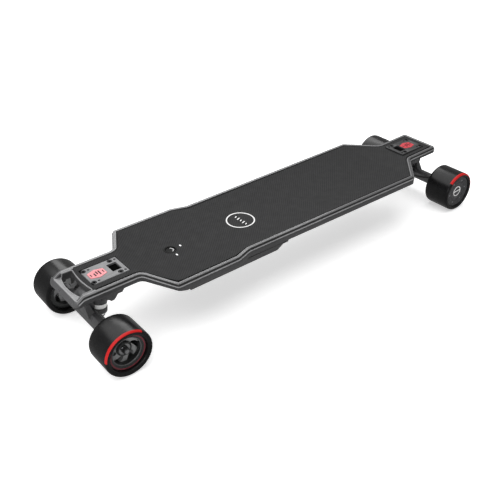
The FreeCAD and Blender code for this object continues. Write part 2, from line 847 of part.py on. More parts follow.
def make_button():
    """The power button, its bezel and the two lights beside it."""
    top = S.front_dish
    bezel = turned_body(
        "bezel_body",
        [
            (0, -6.4), (S.bezel_radius, -6.4), (S.bezel_radius, 0), (S.bezel_radius - 0.6, 0.4),
            (S.bezel_inner + 0.4, 0.4), (S.bezel_inner, 0), (S.bezel_inner, -5.6), (0, -5.6),
        ],
    )
    keep(place(bezel, S.button_x, 0, top, Y_TO_Z), "power_button_bezel")
    button = turned_body(
        "button_body",
        [
            (0, -4.2), (S.button_radius, -4.2), (S.button_radius, -1.2),
            (S.button_radius - 0.6, -0.6), (5, -0.8), (0, -1.1),
        ],
    )
    keep(place(button, S.button_x, 0, top, Y_TO_Z), "power_button")
    lenses = [
        rod(f"light_{index}", S.light_radius, as_size(5.4), x, y, top - 5.2)
        for index, (x, y) in enumerate(light_places())
    ]
    group = doc.addObject("Part::Compound", "status_lights")
    group.Links = lenses
    keep(group, "status_lights")


# ---------------------------------------------------------------- trucks
class End:
    """One end of the board: its name, its axle and the way that is outwards."""

    def __init__(self, name, axle_x, facing):
        self.name = name
        self.axle_x = axle_x
        self.facing = facing
        self.turn = NO_TURN if facing > 0 else HALF_TURN

    def along(self, out):
        """The X of a place given outwards from the axle."""
        return self.axle_x + as_size(out) * self.facing

    def put(self, piece, out=0, up=0, tilt=NO_TURN):
        """Places a piece in the truck's frame."""
        return place(piece, self.along(out), 0, S.axle_z + up, self.turn.multiply(tilt))


ENDS = [End("front", S.front_axle_x, 1), End("rear", S.rear_axle_x, -1)]
PLATE_FRAME = End("plate", as_size(0), 1)


def tilt_to(out, up):
    """The turn that takes a piece's own Z axis to a direction in the truck's side view."""
    return FreeCAD.Rotation(FreeCAD.Vector(0, 0, 1), FreeCAD.Vector(out, 0, up))


TILT = math.radians(S.kingpin_tilt.value)
KINGPIN_LINE = (math.sin(TILT), math.cos(TILT))


def on_kingpin(distance):
    """The (out, up) place at a distance up the kingpin from the middle of the hanger's ring."""
    distance = as_size(distance)
    return (
        S.kingpin_out + distance * KINGPIN_LINE[0],
        S.kingpin_up + distance * KINGPIN_LINE[1],
    )


def steer_direction():
    """Unit (out, up) direction from the kingpin ring to the pivot, the truck's steering axis."""
    out = S.pivot_out.value - S.kingpin_out.value
    up = S.pivot_up.value - S.kingpin_up.value
    length = math.hypot(out, up)
    return out / length, up / length


def bolt_places(end, out=S.bolt_out):
    """The four (X, Y) places of the standard bolt rectangle about a point of the truck."""
    middle = end.along(out)
    return [
        (middle + S.bolt_span / 2 * lengthways, S.bolt_gauge / 2 * sideways)
        for lengthways in (-1, 1)
        for sideways in (-1, 1)
    ]


def upright_copies(name, piece, places, rise=0, turn=NO_TURN):
    """Links to a piece at (X, Y) places, all at one height."""
    height = as_size(rise).value
    placements = [
        FreeCAD.Placement(FreeCAD.Vector(x.value, y.value, height), turn) for x, y in places
    ]
    return copies(name, piece, placements)


def kingpin_stack(end, name, start, profile):
    """A piece turned about the kingpin, starting at a distance along it."""
    piece = turned_body(name, profile)
    out, up = on_kingpin(start)
    return end.put(piece, out, up, tilt_to(*KINGPIN_LINE).multiply(Y_TO_Z))


def make_top_plate(end, badge_out):
    """The plate on top of the deck, with its cable window, bolt holes and badge."""
    body = new_body(f"{end.name}_top_plate_body")
    sketch = body_sketch(body, "XY_Plane")
    draw_rectangle(sketch, S.plate_out, as_size(0), S.plate_length, S.plate_width)
    pad(body, sketch, S.plate_thickness)
    middle = S.plate_out.value
    dress_edges(
        body, "Fillet", S.plate_radius,
        lambda edge: is_upright(edge) and edge.CenterOfMass.x > middle,
    )
    top = S.plate_thickness.value
    dress_edges(body, "Chamfer", as_size(0.8), lambda edge: edge.BoundBox.ZMin > top - 0.01)
    holes = body_sketch(body, "XY_Plane")
    draw_rectangle(holes, S.window_out, as_size(0), S.window_length, S.window_width)
    for x, y in bolt_places(PLATE_FRAME) + bolt_places(PLATE_FRAME, S.bolt_out - S.second_row):
        draw_circle(holes, x, y, S.bolt_radius)
    pocket_through(body, holes)
    badge_seat = body_sketch(body, "XY_Plane", S.plate_thickness)
    draw_badge(badge_seat, badge_out)
    seat = body.newObject("PartDesign::Pocket", f"{end.name}_badge_seat")
    seat.Profile = badge_seat
    bind(seat, "Length", S.badge_thickness / 2)
    sinks = body_sketch(body, "XY_Plane", S.plate_thickness)
    for x, y in bolt_places(PLATE_FRAME):
        draw_circle(sinks, x, y, S.bolt_head_radius)
    sink = body.newObject("PartDesign::Pocket", f"{end.name}_head_seats")
    sink.Profile = sinks
    bind(sink, "Length", as_size(3))
    place(body, end.axle_x, 0, S.plate_top - S.plate_thickness, end.turn)
    keep(body, f"{end.name}_top_plate")

    badge = new_body(f"{end.name}_badge_body")
    face = body_sketch(badge, "XY_Plane")
    draw_badge(face, badge_out)
    pad(badge, face, S.badge_thickness)
    place(badge, end.axle_x, 0, S.plate_top - S.badge_thickness / 2, end.turn)
    keep(badge, f"{end.name}_plate_badge")


def draw_badge(sketch, middle):
    """A six-sided badge, widest at its middle."""
    reach = S.badge_half_length
    draw_polygon(
        sketch,
        [
            (middle - reach, -S.badge_end_half),
            (middle, -S.badge_half_width),
            (middle + reach, -S.badge_end_half),
            (middle + reach, S.badge_end_half),
            (middle, S.badge_half_width),
            (middle - reach, S.badge_end_half),
        ],
    )


def make_bolts(end):
    """Four socket-head bolts from the top plate down to lock nuts in the baseplate's pockets."""
    top = S.plate_top - 0.6
    bolt = turned_body(
        f"{end.name}_bolt",
        [
            (0, -2), (2, -2), (2, 0), (S.bolt_head_radius - 0.8, 0),
            (S.bolt_head_radius, -0.8), (S.bolt_head_radius, -2.4),
            (S.bolt_radius, -2.4), (S.bolt_radius, -28), (0, -28),
        ],
    )
    nut = new_body(f"{end.name}_bolt_nut")
    hexagon = body_sketch(nut, "XZ_Plane")
    draw_hexagon(hexagon, S.small_nut)
    draw_circle(hexagon, as_size(0), as_size(0), S.bolt_radius)
    pad(nut, hexagon, as_size(4))
    places = bolt_places(end)
    nut_top = S.neck_bottom - S.nut_seat
    group = doc.addObject("Part::Compound", f"{end.name}_bolt_set")
    group.Links = [
        upright_copies(f"{end.name}_bolts", bolt, places, top, Y_TO_Z),
        upright_copies(f"{end.name}_nuts", nut, places, nut_top, Y_TO_Z),
    ]
    keep(group, f"{end.name}_mounting_bolts")


BASE_BOTTOM = S.neck_bottom - S.base_depth


def make_baseplate(end):
    """The cast base under the deck, with its kingpin boss and pivot tower."""
    body = new_body(f"{end.name}_base_block")
    sketches = []
    for rise, length, width, out in (
        (S.neck_bottom, S.plate_length, S.plate_width, S.plate_out),
        (BASE_BOTTOM, S.plate_length - 25, S.plate_width, S.plate_out + 7.5),
    ):
        sketch = body_sketch(body, "XY_Plane", rise - S.axle_z)
        draw_rectangle(sketch, out, as_size(0), length, width)
        sketches.append(sketch)
    loft = body.newObject("PartDesign::AdditiveLoft", f"{end.name}_base_loft")
    loft.Profile = sketches[0]
    loft.Sections = [sketches[1]]
    loft.Ruled = True
    end.put(body)

    rib = new_body(f"{end.name}_base_rib")
    side = body_sketch(rib, "XZ_Plane")
    base_up = BASE_BOTTOM - S.axle_z
    top_up = S.neck_bottom - S.axle_z
    draw_polygon(
        side,
        [
            (S.plate_out - 21, base_up + 1), (S.plate_out - 18, base_up - 7),
            (S.plate_out - 9, base_up - 18), (S.plate_out - 5, base_up - 21.5),
            (S.plate_out + 1, base_up - 21.5), (S.plate_out + 4, base_up - 18),
            (S.plate_out + 26, base_up - 6), (S.pivot_out + 4, base_up - 3),
            (S.pivot_out + 14, base_up + 4), (S.pivot_out + 8, base_up + 13),
            (S.plate_out + 42, top_up - 3), (S.plate_out + 40, top_up), (S.plate_out, top_up),
        ],
    )
    pad(rib, side, as_size(26), midplane=True)
    end.put(rib)

    start_out, start_up = on_kingpin(S.ring_half + S.board_bushing)
    boss = rod(f"{end.name}_boss", S.bushing_radius + 0.6, S.boss_top - S.ring_half - S.board_bushing)
    end.put(boss, start_out, start_up, tilt_to(*KINGPIN_LINE))
    direction = steer_direction()
    tower = rod(f"{end.name}_tower", S.pivot_radius + 4.5, as_size(16))
    end.put(
        tower,
        S.pivot_out - as_size(2 * direction[0]),
        S.pivot_up - as_size(2 * direction[1]),
        tilt_to(*direction),
    )
    trim = box(
        f"{end.name}_base_trim",
        (end.axle_x - 120, end.axle_x + 120),
        (as_size(-60), as_size(60)),
        (as_size(0), S.neck_bottom),
    )
    blank = common(
        f"{end.name}_base_trimmed", fuse(f"{end.name}_base_blank", body, rib, boss, tower), trim
    )
    out, up = on_kingpin(S.ring_half + S.board_bushing - 1)
    bore = rod(f"{end.name}_kingpin_bore", S.kingpin_radius, as_size(34))
    end.put(bore, out, up, tilt_to(*KINGPIN_LINE))
    cup_bore = rod(f"{end.name}_cup_bore", S.pivot_radius + 2.2, as_size(12))
    end.put(
        cup_bore,
        S.pivot_out - as_size(3 * direction[0]),
        S.pivot_up - as_size(3 * direction[1]),
        tilt_to(*direction),
    )
    swing = rod(f"{end.name}_pivot_room", S.pivot_radius + 7, as_size(14))
    end.put(
        swing,
        S.pivot_out - as_size(15.6 * direction[0]),
        S.pivot_up - as_size(15.6 * direction[1]),
        tilt_to(*direction),
    )
    pocket = rod(f"{end.name}_nut_pocket", S.nut_pocket, S.neck_bottom - S.nut_seat)
    pockets = upright_copies(f"{end.name}_nut_pockets", pocket, bolt_places(end))
    holes = doc.getObject(f"{end.name}_bolt_holes")
    keep(
        cut(f"{end.name}_baseplate", blank, bore, cup_bore, swing, pockets, holes),
        f"{end.name}_baseplate",
    )

    cup = turned_body(
        f"{end.name}_cup_body",
        [
            (S.pivot_radius + 0.3, 0), (S.pivot_radius + 2.2, 0), (S.pivot_radius + 2.2, 10.5),
            (0, 10.5), (0, 9), (S.pivot_radius + 0.3, 9),
        ],
    )
    end.put(
        cup,
        S.pivot_out - as_size(1.5 * direction[0]),
        S.pivot_up - as_size(1.5 * direction[1]),
        tilt_to(*direction).multiply(Y_TO_Z),
    )
    keep(cup, f"{end.name}_pivot_cup")


def make_kingpin(end):
    """The kingpin with its nut, the two bushings and their washers."""
    pin_start = -(S.ring_half + S.road_bushing + 8.9)
    pin = kingpin_stack(
        end, f"{end.name}_pin_body", pin_start,
        [(0, 0), (S.kingpin_radius, 0), (S.kingpin_radius, 54), (0, 54)],
    )
    nut = new_body(f"{end.name}_pin_nut")
    sketch = body_sketch(nut, "XY_Plane")
    draw_hexagon(sketch, S.kingpin_nut)
    draw_circle(sketch, as_size(0), as_size(0), S.kingpin_radius)
    pad(nut, sketch, as_size(6.5))
    out, up = on_kingpin(pin_start + 0.8)
    end.put(nut, out, up, tilt_to(*KINGPIN_LINE))
    group = doc.addObject("Part::Compound", f"{end.name}_kingpin_set")
    group.Links = [pin, nut]
    keep(group, f"{end.name}_kingpin")

    upper = kingpin_stack(
        end, f"{end.name}_board_bushing", S.ring_half,
        [
            (S.kingpin_radius, 0), (S.bushing_radius - 0.8, 0), (S.bushing_radius, 1),
            (S.bushing_radius, S.board_bushing - 3), (S.bushing_radius - 0.8, S.board_bushing - 2),
            (S.kingpin_radius, S.board_bushing - 2),
        ],
    )
    lower = kingpin_stack(
        end, f"{end.name}_road_bushing", -S.ring_half - S.road_bushing,
        [
            (S.kingpin_radius, 0), (S.bushing_radius - 4, 0), (S.bushing_radius - 1, S.road_bushing - 2),
            (S.bushing_radius - 1, S.road_bushing), (S.kingpin_radius, S.road_bushing),
        ],
    )
    bushings = doc.addObject("Part::Compound", f"{end.name}_bushing_set")
    bushings.Links = [upper, lower]
    keep(bushings, f"{end.name}_bushings")

    top = kingpin_stack(
        end, f"{end.name}_top_washer", S.ring_half + S.board_bushing - 2,
        ring_profile(S.kingpin_radius, S.bushing_radius + 0.6, 0, 2),
    )
    bottom = kingpin_stack(
        end, f"{end.name}_bottom_washer", -S.ring_half - S.road_bushing - 1.6,
        ring_profile(S.kingpin_radius, S.bushing_radius - 3, 0, 1.6),
    )
    washers = doc.addObject("Part::Compound", f"{end.name}_washer_set")
    washers.Links = [top, bottom]
    keep(washers, f"{end.name}_bushing_washers")


def make_hanger(end, axle_radius):
    """The cast hanger: faceted beam, kingpin ring, arm up to the pivot, round collars."""
    beam = new_body(f"{end.name}_beam")
    section = body_sketch(beam, "XZ_Plane")
    draw_polygon(
        section,
        [
            (-12, -4), (-8, -9.5), (6, -11.5), (11.5, -9), (12.5, -4), (10, 5), (5, 12.5), (-5, 13),
            (-12, 8),
        ],
    )
    pad(beam, section, S.hanger_half * 2, midplane=True)
    dress_edges(
        beam, "Chamfer", as_size(6),
        lambda edge: abs(abs(edge.CenterOfMass.y) - S.hanger_half.value) < 0.01,
    )
    end.put(beam)
    collars = rod(
        f"{end.name}_collars", S.collar_radius, S.collar_end * 2,
        end.axle_x, -S.collar_end, S.axle_z,
        Z_TO_Y,
    )
    hump = doc.addObject("Part::Wedge", f"{end.name}_hump")
    limits = {
        "Xmin": -3, "Xmax": 12, "X2min": 3, "X2max": 12,
        "Zmin": -22, "Zmax": 22, "Z2min": -6, "Z2max": 6,
        "Ymin": 0, "Ymax": 26,
    }
    for name, value in limits.items():
        setattr(hump, name, value)
    end.put(hump, 0, 7, Y_TO_Z)
    out, up = on_kingpin(-S.ring_half)
    ring = rod(f"{end.name}_ring", S.ring_radius, S.ring_half * 2)
    end.put(ring, out, up, tilt_to(*KINGPIN_LINE))
    web = new_body(f"{end.name}_web")
    side = body_sketch(web, "XZ_Plane")
    ring_out, ring_up = on_kingpin(0)
    draw_polygon(
        side,
        [
            (ring_out, ring_up - 4.6), (as_size(-4), as_size(-9)), (as_size(-2), as_size(9)),
            (ring_out, ring_up + 4.6),
        ],
    )
    pad(web, side, as_size(30), midplane=True)
    end.put(web)

    direction = steer_direction()
    pivot_arm = doc.addObject("Part::Cone", f"{end.name}_pivot_arm")
    bind(pivot_arm, "Radius1", S.pivot_radius + 4)
    bind(pivot_arm, "Radius2", S.pivot_radius)
    arm_length = 26
    bind(pivot_arm, "Height", as_size(arm_length))
    end.put(
        pivot_arm,
        S.pivot_out - as_size((arm_length + 2) * direction[0]),
        S.pivot_up - as_size((arm_length + 2) * direction[1]),
        tilt_to(*direction),
    )
    pivot_tip = rod(f"{end.name}_pivot_tip", S.pivot_radius, as_size(8))
    end.put(
        pivot_tip,
        S.pivot_out - as_size(2 * direction[0]),
        S.pivot_up - as_size(2 * direction[1]),
        tilt_to(*direction),
    )
    blank = fuse(f"{end.name}_hanger_blank", beam, collars, hump, ring, web, pivot_arm, pivot_tip)
    axle_bore = rod(
        f"{end.name}_axle_bore", axle_radius, as_size(200), end.axle_x, -100, S.axle_z,
        Z_TO_Y,
    )
    out, up = on_kingpin(-20)
    kingpin_room = rod(f"{end.name}_kingpin_room", S.kingpin_radius + 2, as_size(40))
    end.put(kingpin_room, out, up, tilt_to(*KINGPIN_LINE))
    out, up = on_kingpin(S.ring_half)
    bushing_room = rod(f"{end.name}_bushing_room", S.bushing_radius + 3.4, as_size(40))
    end.put(bushing_room, out, up, tilt_to(*KINGPIN_LINE))
    out, up = on_kingpin(-S.ring_half)
    under_room = rod(f"{end.name}_under_room", S.bushing_radius + 2, as_size(40))
    end.put(under_room, out, up, tilt_to(-KINGPIN_LINE[0], -KINGPIN_LINE[1]))
    hanger = cut(
        f"{end.name}_hanger", blank, axle_bore, kingpin_room, bushing_room, under_room
    )
    keep(hanger, f"{end.name}_hanger")


# ---------------------------------------------------------------- wheels
def wheel_turn(side):
    """The turn that puts a wheel, drawn for the left side, on its side."""
    return NO_TURN if side > 0 else HALF_TURN


def make_front_axle(end):
    """The axle through the front hanger, with its spacers and nuts."""
    reach = S.wheel_mid_y + S.bearing_gap + S.bearing_width + S.axle_end
    axle = rod(
        "front_axle_rod", S.axle_radius, reach * 2, end.axle_x, -reach, S.axle_z,
        Z_TO_Y,
    )
    keep(axle, "front_axle")
    inner = S.wheel_mid_y - S.bearing_gap - S.bearing_width
    spacers, nuts = [], []
    for side, name in ((1, "left"), (-1, "right")):
        collar = turned_body(
            f"front_{name}_spacer",
            ring_profile(S.axle_radius, as_size(6.2), S.collar_end, inner),
            ring_profile(
                S.axle_radius, as_size(6), inner + S.bearing_width + 0.02,
                inner + S.bearing_width + S.bearing_gap * 2 - 0.02,
            ),
        )
        spacers.append(place(collar, end.axle_x, 0, S.axle_z, wheel_turn(side)))
        nut = new_body(f"front_{name}_nut")
        sketch = body_sketch(nut, "XZ_Plane")
        draw_hexagon(sketch, S.axle_nut)
        draw_circle(sketch, as_size(0), as_size(0), S.axle_radius)
        pad(nut, sketch, as_size(7))
        outer = S.wheel_mid_y + S.bearing_gap + S.bearing_width + 1
        nuts.append(
            place(nut, end.axle_x, (outer + 7) if side > 0 else -outer, S.axle_z)
        )
    for label, pieces in (("front_axle_spacers", spacers), ("front_axle_nuts", nuts)):
        group = doc.addObject("Part::Compound", f"{label}_set")
        group.Links = pieces
        keep(group, label)


def make_tyre(label, end, side, inner_radius):
    """A urethane tyre with rounded shoulders."""
    tyre = turned_body(
        f"{label}_body",
        ring_profile(inner_radius, S.wheel_radius, S.wheel_inner_y, S.wheel_outer_y),
    )
    dress_edges(
        tyre, "Fillet", S.shoulder_radius,
        lambda edge: isinstance(edge.Curve, Part.Circle)
        and abs(edge.Curve.Radius - S.wheel_radius.value) < 0.01,
    )
    keep(place(tyre, end.axle_x, 0, S.axle_z, wheel_turn(side)), label)


def make_front_wheel(end, side, name):
    """A free-rolling wheel: tyre, spoked core and two bearings."""
    make_tyre(f"front_{name}_tyre", end, side, S.core_radius)
    start = S.wheel_mid_y - S.bearing_gap - S.bearing_width
    stop = S.wheel_mid_y + S.bearing_gap + S.bearing_width
    core = turned_body(
        f"front_{name}_core_body",
        [
            (S.bearing_radius, start), (S.hub_radius, start), (S.hub_radius, S.wheel_mid_y - 4),
            (S.core_rim, S.wheel_mid_y - 4), (S.core_rim, S.wheel_inner_y + S.core_setback),
            (S.core_radius, S.wheel_inner_y + S.core_setback), (S.core_radius, S.wheel_outer_y - S.core_setback),
            (S.core_rim, S.wheel_outer_y - S.core_setback), (S.core_rim, S.wheel_mid_y + 4),
            (S.hub_radius, S.wheel_mid_y + 4), (S.hub_radius, stop), (S.bearing_radius, stop),
            (S.bearing_radius, stop - S.bearing_width),
            (S.bearing_radius - 1.6, stop - S.bearing_width),
            (S.bearing_radius - 1.6, start + S.bearing_width),
            (S.bearing_radius, start + S.bearing_width),
        ],
    )
    sketch = body_sketch(core, "XZ_Plane")
    draw_circle(sketch, as_size(0), (S.hub_radius + S.core_rim) / 2, S.core_window)
    doc.recompute()
    window = core.newObject("PartDesign::Pocket", f"front_{name}_core_window")
    window.Profile = sketch
    window.Type = "ThroughAll"
    window.Midplane = True
    polar(core, [window], as_size(6))
    keep(place(core, end.axle_x, 0, S.axle_z, wheel_turn(side)), f"front_{name}_core")
    bore = S.axle_radius + S.axle_clearance
    bearings = turned_body(
        f"front_{name}_bearing_body",
        bearing_profile(bore, S.bearing_radius, start, S.bearing_width),
        bearing_profile(bore, S.bearing_radius, stop - S.bearing_width, S.bearing_width),
    )
    place(bearings, end.axle_x, 0, S.axle_z, wheel_turn(side))
    keep(bearings, f"front_{name}_bearings")


def bearing_profile(bore, radius, start, width):
    """A shielded ball bearing, with the shields set back from both faces."""
    inner = bore + 1.8
    outer = radius - 1.6
    end = start + width
    return [
        (bore, start), (inner, start), (inner, start + 0.5), (outer, start + 0.5), (outer, start),
        (radius, start), (radius, end), (outer, end), (outer, end - 0.5), (inner, end - 0.5),
        (inner, end), (bore, end),
    ]


def make_motor(end, side, name):
    """A hub motor: outer can with magnets, cover and bearings, round a fixed stator."""
    make_tyre(f"rear_{name}_tyre", end, side, S.can_radius)
    seat = S.motor_axle_radius + 6
    bore = S.motor_axle_radius + S.axle_clearance
    can = turned_body(
        f"rear_{name}_can_body",
        [
            (seat, S.motor_start_y), (S.can_radius, S.motor_start_y),
            (S.can_radius, S.motor_end_y), (S.can_inner, S.motor_end_y),
            (S.can_inner, S.motor_start_y + S.end_plate), (seat, S.motor_start_y + S.end_plate),
        ],
    )
    cover = turned_body(
        f"rear_{name}_cover_body",
        [
            (0, S.motor_end_y), (S.cover_radius, S.motor_end_y),
            (S.cover_radius, S.motor_end_y + 3), (S.cover_radius - 1.4, S.motor_end_y + 4),
            (0, S.motor_end_y + 4),
        ],
        ring_profile(seat - 2, seat, S.motor_end_y - 6.2, S.motor_end_y),
    )
    magnets = new_body(f"rear_{name}_magnet_body")
    sketch = body_sketch(magnets, "XY_Plane", S.magnet_radius)
    draw_rectangle(
        sketch, as_size(0), S.stator_start_y + S.stator_length / 2, S.magnet_width,
        S.stator_length + 4,
    )
    bar = pad(magnets, sketch, S.magnet_thickness)
    polar(magnets, [bar], S.magnet_count)
    bearings = turned_body(
        f"rear_{name}_bearing_body",
        bearing_profile(bore, seat, S.motor_start_y, S.end_plate),
        bearing_profile(bore, seat - 2, S.motor_end_y - 5.6, as_size(5)),
    )
    pieces = {
        "motor_can": can,
        "motor_cover": cover,
        "motor_magnets": magnets,
        "motor_bearings": bearings,
    }

    core = turned_body(
        f"rear_{name}_stator_body",
        ring_profile(S.motor_axle_radius, S.tooth_root + 0.5, S.stator_start_y,
                     S.stator_start_y + S.stator_length),
    )
    middle = S.stator_start_y + S.stator_length / 2
    tooth_sketch = body_sketch(core, "XY_Plane", S.tooth_root)
    draw_rectangle(tooth_sketch, as_size(0), middle, S.tooth_width, S.stator_length)
    tooth = pad(core, tooth_sketch, S.tooth_shoulder - S.tooth_root)
    tip_sketch = body_sketch(core, "XY_Plane", S.tooth_shoulder)
    draw_rectangle(tip_sketch, as_size(0), middle, S.tip_width, S.stator_length)
    tip = pad(core, tip_sketch, S.tooth_tip - S.tooth_shoulder)
    polar(core, [tooth, tip], S.tooth_count)
    pieces["stator_core"] = core

    coils = new_body(f"rear_{name}_coil_body")
    coil_sketch = body_sketch(coils, "XY_Plane", S.coil_root)
    coil_length = S.stator_length + S.coil_overhang * 2
    draw_rectangle(coil_sketch, as_size(0), middle, S.coil_width, coil_length)
    draw_rectangle(coil_sketch, as_size(0), middle, S.tooth_width, S.stator_length)
    coil = pad(coils, coil_sketch, S.tooth_shoulder - S.coil_root)
    polar(coils, [coil], S.tooth_count)
    pieces["stator_coils"] = coils

    for label, piece in pieces.items():
        place(piece, end.axle_x, 0, S.axle_z, wheel_turn(side))
        keep(piece, f"rear_{name}_{label}")


def make_rear_axle(end):
    """The fixed motor axle through the rear hanger."""
    reach = S.motor_end_y - 0.6
    axle = rod(
        "rear_axle_rod", S.motor_axle_radius, reach * 2, end.axle_x, -reach, S.axle_z,
        Z_TO_Y,
    )
    keep(axle, "rear_axle")


def rounded_path(points):
    """Straight runs joined by tangent arcs, each as large as its two runs allow."""
    edges = []
    start = points[0]
    for before, corner, after in zip(points, points[1:], points[2:]):
        back = (before - corner).normalize()
        ahead = (after - corner).normalize()
        half_turn = (math.pi - back.getAngle(ahead)) / 2
        shorter = min((before - corner).Length, (after - corner).Length)
        trim = 0.45 * shorter
        radius = trim / math.tan(half_turn)
        entry = corner + back * trim
        exit_point = corner + ahead * trim
        inward = (back + ahead).normalize()
        middle = corner + inward * (radius / math.cos(half_turn) - radius)
        edges.append(Part.LineSegment(start, entry).toShape())
        edges.append(Part.Arc(entry, middle, exit_point).toShape())
        print(f"cable arc radius {radius:.1f} mm")
        start = exit_point
    edges.append(Part.LineSegment(start, points[-1]).toShape())
    return Part.Wire(edges)


def make_motor_cables(end):
    """Each motor's cable, from the deck's underside to the inner end of the axle's collar."""
    radius = S.cable_radius.value
    tubes = []
    for side in (1, -1):
        points = [
            FreeCAD.Vector(end.along(out).value, y * side, z) for out, y, z in MOTOR_CABLE_ROUTE
        ]
        path = rounded_path(points)
        circle = Part.Circle(points[0], points[1] - points[0], radius)
        profile = Part.Wire([circle.toShape()])
        tube = path.makePipeShell([profile], True, False)
        expected = math.pi * radius ** 2 * path.Length
        print(f"cable tube volume is {tube.Volume / expected:.3f} of its section times length")
        tubes.append(tube)
    cables = doc.addObject("Part::Feature", "motor_cable_tubes")
    cables.Shape = Part.makeCompound(tubes)
    keep(cables, "motor_cables")


# ---------------------------------------------------------------- build and write
def check_document():
    """Stops if any object failed or any sub-part has no sound shape."""
    doc.recompute()
    for item in doc.Objects:
        if "Invalid" in item.State or "Error" in item.State:
            raise RuntimeError(f"{item.Name} failed: {item.State}")
    for piece in SUB_PARTS:
        shape = piece.Shape
        if shape.isNull() or not shape.isValid() or not shape.Solids:
            raise RuntimeError(f"{piece.Label} has no sound shape")


def write_parts():
    os.makedirs("parts", exist_ok=True)
    for piece in SUB_PARTS:
        piece.Shape.exportStep(f"parts/{piece.Label}.step")
        room = piece.Shape.BoundBox
        print(
            f"{piece.Label:26s} {len(piece.Shape.Solids):3d} "
            f"x {room.XMin:7.1f}..{room.XMax:7.1f} y {room.YMin:7.1f}..{room.YMax:7.1f} "
            f"z {room.ZMin:6.1f}..{room.ZMax:6.1f}"
        )
    print(len(SUB_PARTS), "sub-parts")


OUTLINE = outline_wire()
make_deck()
make_nose_handle()
make_tub()
make_electrics()
make_charge_socket()
make_button()
for end, badge_out in zip(ENDS, (S.front_badge_out, S.rear_badge_out)):
    make_top_plate(end, badge_out)
    make_bolts(end)
    make_baseplate(end)
    make_kingpin(end)
front, rear = ENDS
make_hanger(front, S.axle_radius)
make_hanger(rear, S.motor_axle_radius)
make_front_axle(front)
make_rear_axle(rear)
for side, name in ((1, "left"), (-1, "right")):
    make_front_wheel(front, side, name)
    make_motor(rear, side, name)
make_motor_cables(rear)
check_document()
write_parts()
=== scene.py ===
"""Electric longboard skateboard: its looks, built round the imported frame.

Metres, +X to the nose, +Y to the rider's left, +Z up, the origin on the floor under the board's middle.
"""
import json
from itertools import product
from math import atan2, copysign, cos, pi, radians, sin, sqrt, tan

import bmesh
import bpy
import numpy as np
from mathutils import Matrix, Vector
from mathutils.geometry import tessellate_polygon


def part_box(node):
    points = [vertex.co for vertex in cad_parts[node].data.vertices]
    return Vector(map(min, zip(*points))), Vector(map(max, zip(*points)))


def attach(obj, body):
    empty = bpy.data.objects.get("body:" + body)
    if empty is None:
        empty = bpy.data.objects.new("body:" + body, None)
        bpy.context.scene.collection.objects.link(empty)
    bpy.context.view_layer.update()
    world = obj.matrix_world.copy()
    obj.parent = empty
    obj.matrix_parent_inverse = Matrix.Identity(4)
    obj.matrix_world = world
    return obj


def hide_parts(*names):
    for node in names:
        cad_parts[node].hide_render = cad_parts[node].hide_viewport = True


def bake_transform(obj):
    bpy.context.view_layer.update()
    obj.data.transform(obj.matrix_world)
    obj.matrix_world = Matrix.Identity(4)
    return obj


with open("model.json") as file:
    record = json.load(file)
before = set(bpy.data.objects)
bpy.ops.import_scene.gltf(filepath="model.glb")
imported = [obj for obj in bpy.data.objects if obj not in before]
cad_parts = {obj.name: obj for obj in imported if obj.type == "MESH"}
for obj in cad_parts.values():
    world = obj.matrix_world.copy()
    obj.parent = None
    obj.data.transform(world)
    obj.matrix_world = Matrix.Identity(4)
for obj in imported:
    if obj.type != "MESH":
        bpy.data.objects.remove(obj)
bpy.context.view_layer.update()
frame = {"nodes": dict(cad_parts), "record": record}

MM = 0.001
SIDES = (("left", 1), ("right", -1))


def mm(x, y, z):
    """A point or a step, given in millimetres."""
    return Vector((x, y, z)) * MM


def middle(node):
    """The middle of a CAD node's box."""
    low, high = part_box(node)
    return (low + high) / 2


def placed(name, data):
    """A new object in the scene."""
    item = bpy.data.objects.new(name, data)
    bpy.context.scene.collection.objects.link(item)
    return item


AXLES = {"front": middle("front_axle"), "rear": middle("rear_axle")}
FACING = {"front": 1, "rear": -1}


def outward_x(end, distance):
    """The X, in millimetres, a distance beyond an axle towards its own end of the board."""
    return AXLES[end].x / MM + distance * FACING[end]


# ---- camera
def add_camera():
    """A long lens from ahead, the left and above, a little rolled."""
    azimuth, elevation, roll = radians(141.33), radians(33.57), radians(-0.465)
    distance = 1.4409
    target = Vector((0.0998, 0.0354, 0.05775))
    back = Vector((
        cos(elevation) * sin(azimuth),
        -cos(elevation) * cos(azimuth),
        sin(elevation),
    ))
    camera = placed("camera", bpy.data.cameras.new("camera"))
    turn = (-back).to_track_quat("-Z", "Y").to_matrix().to_4x4()
    camera.matrix_world = (
        Matrix.Translation(target + back * distance) @ turn @ Matrix.Rotation(roll, 4, "Z")
    )
    camera.data.lens = 50.395
    camera.data.sensor_width = 36
    camera.data.clip_start = 0.05
    bpy.context.scene.camera = camera


add_camera()


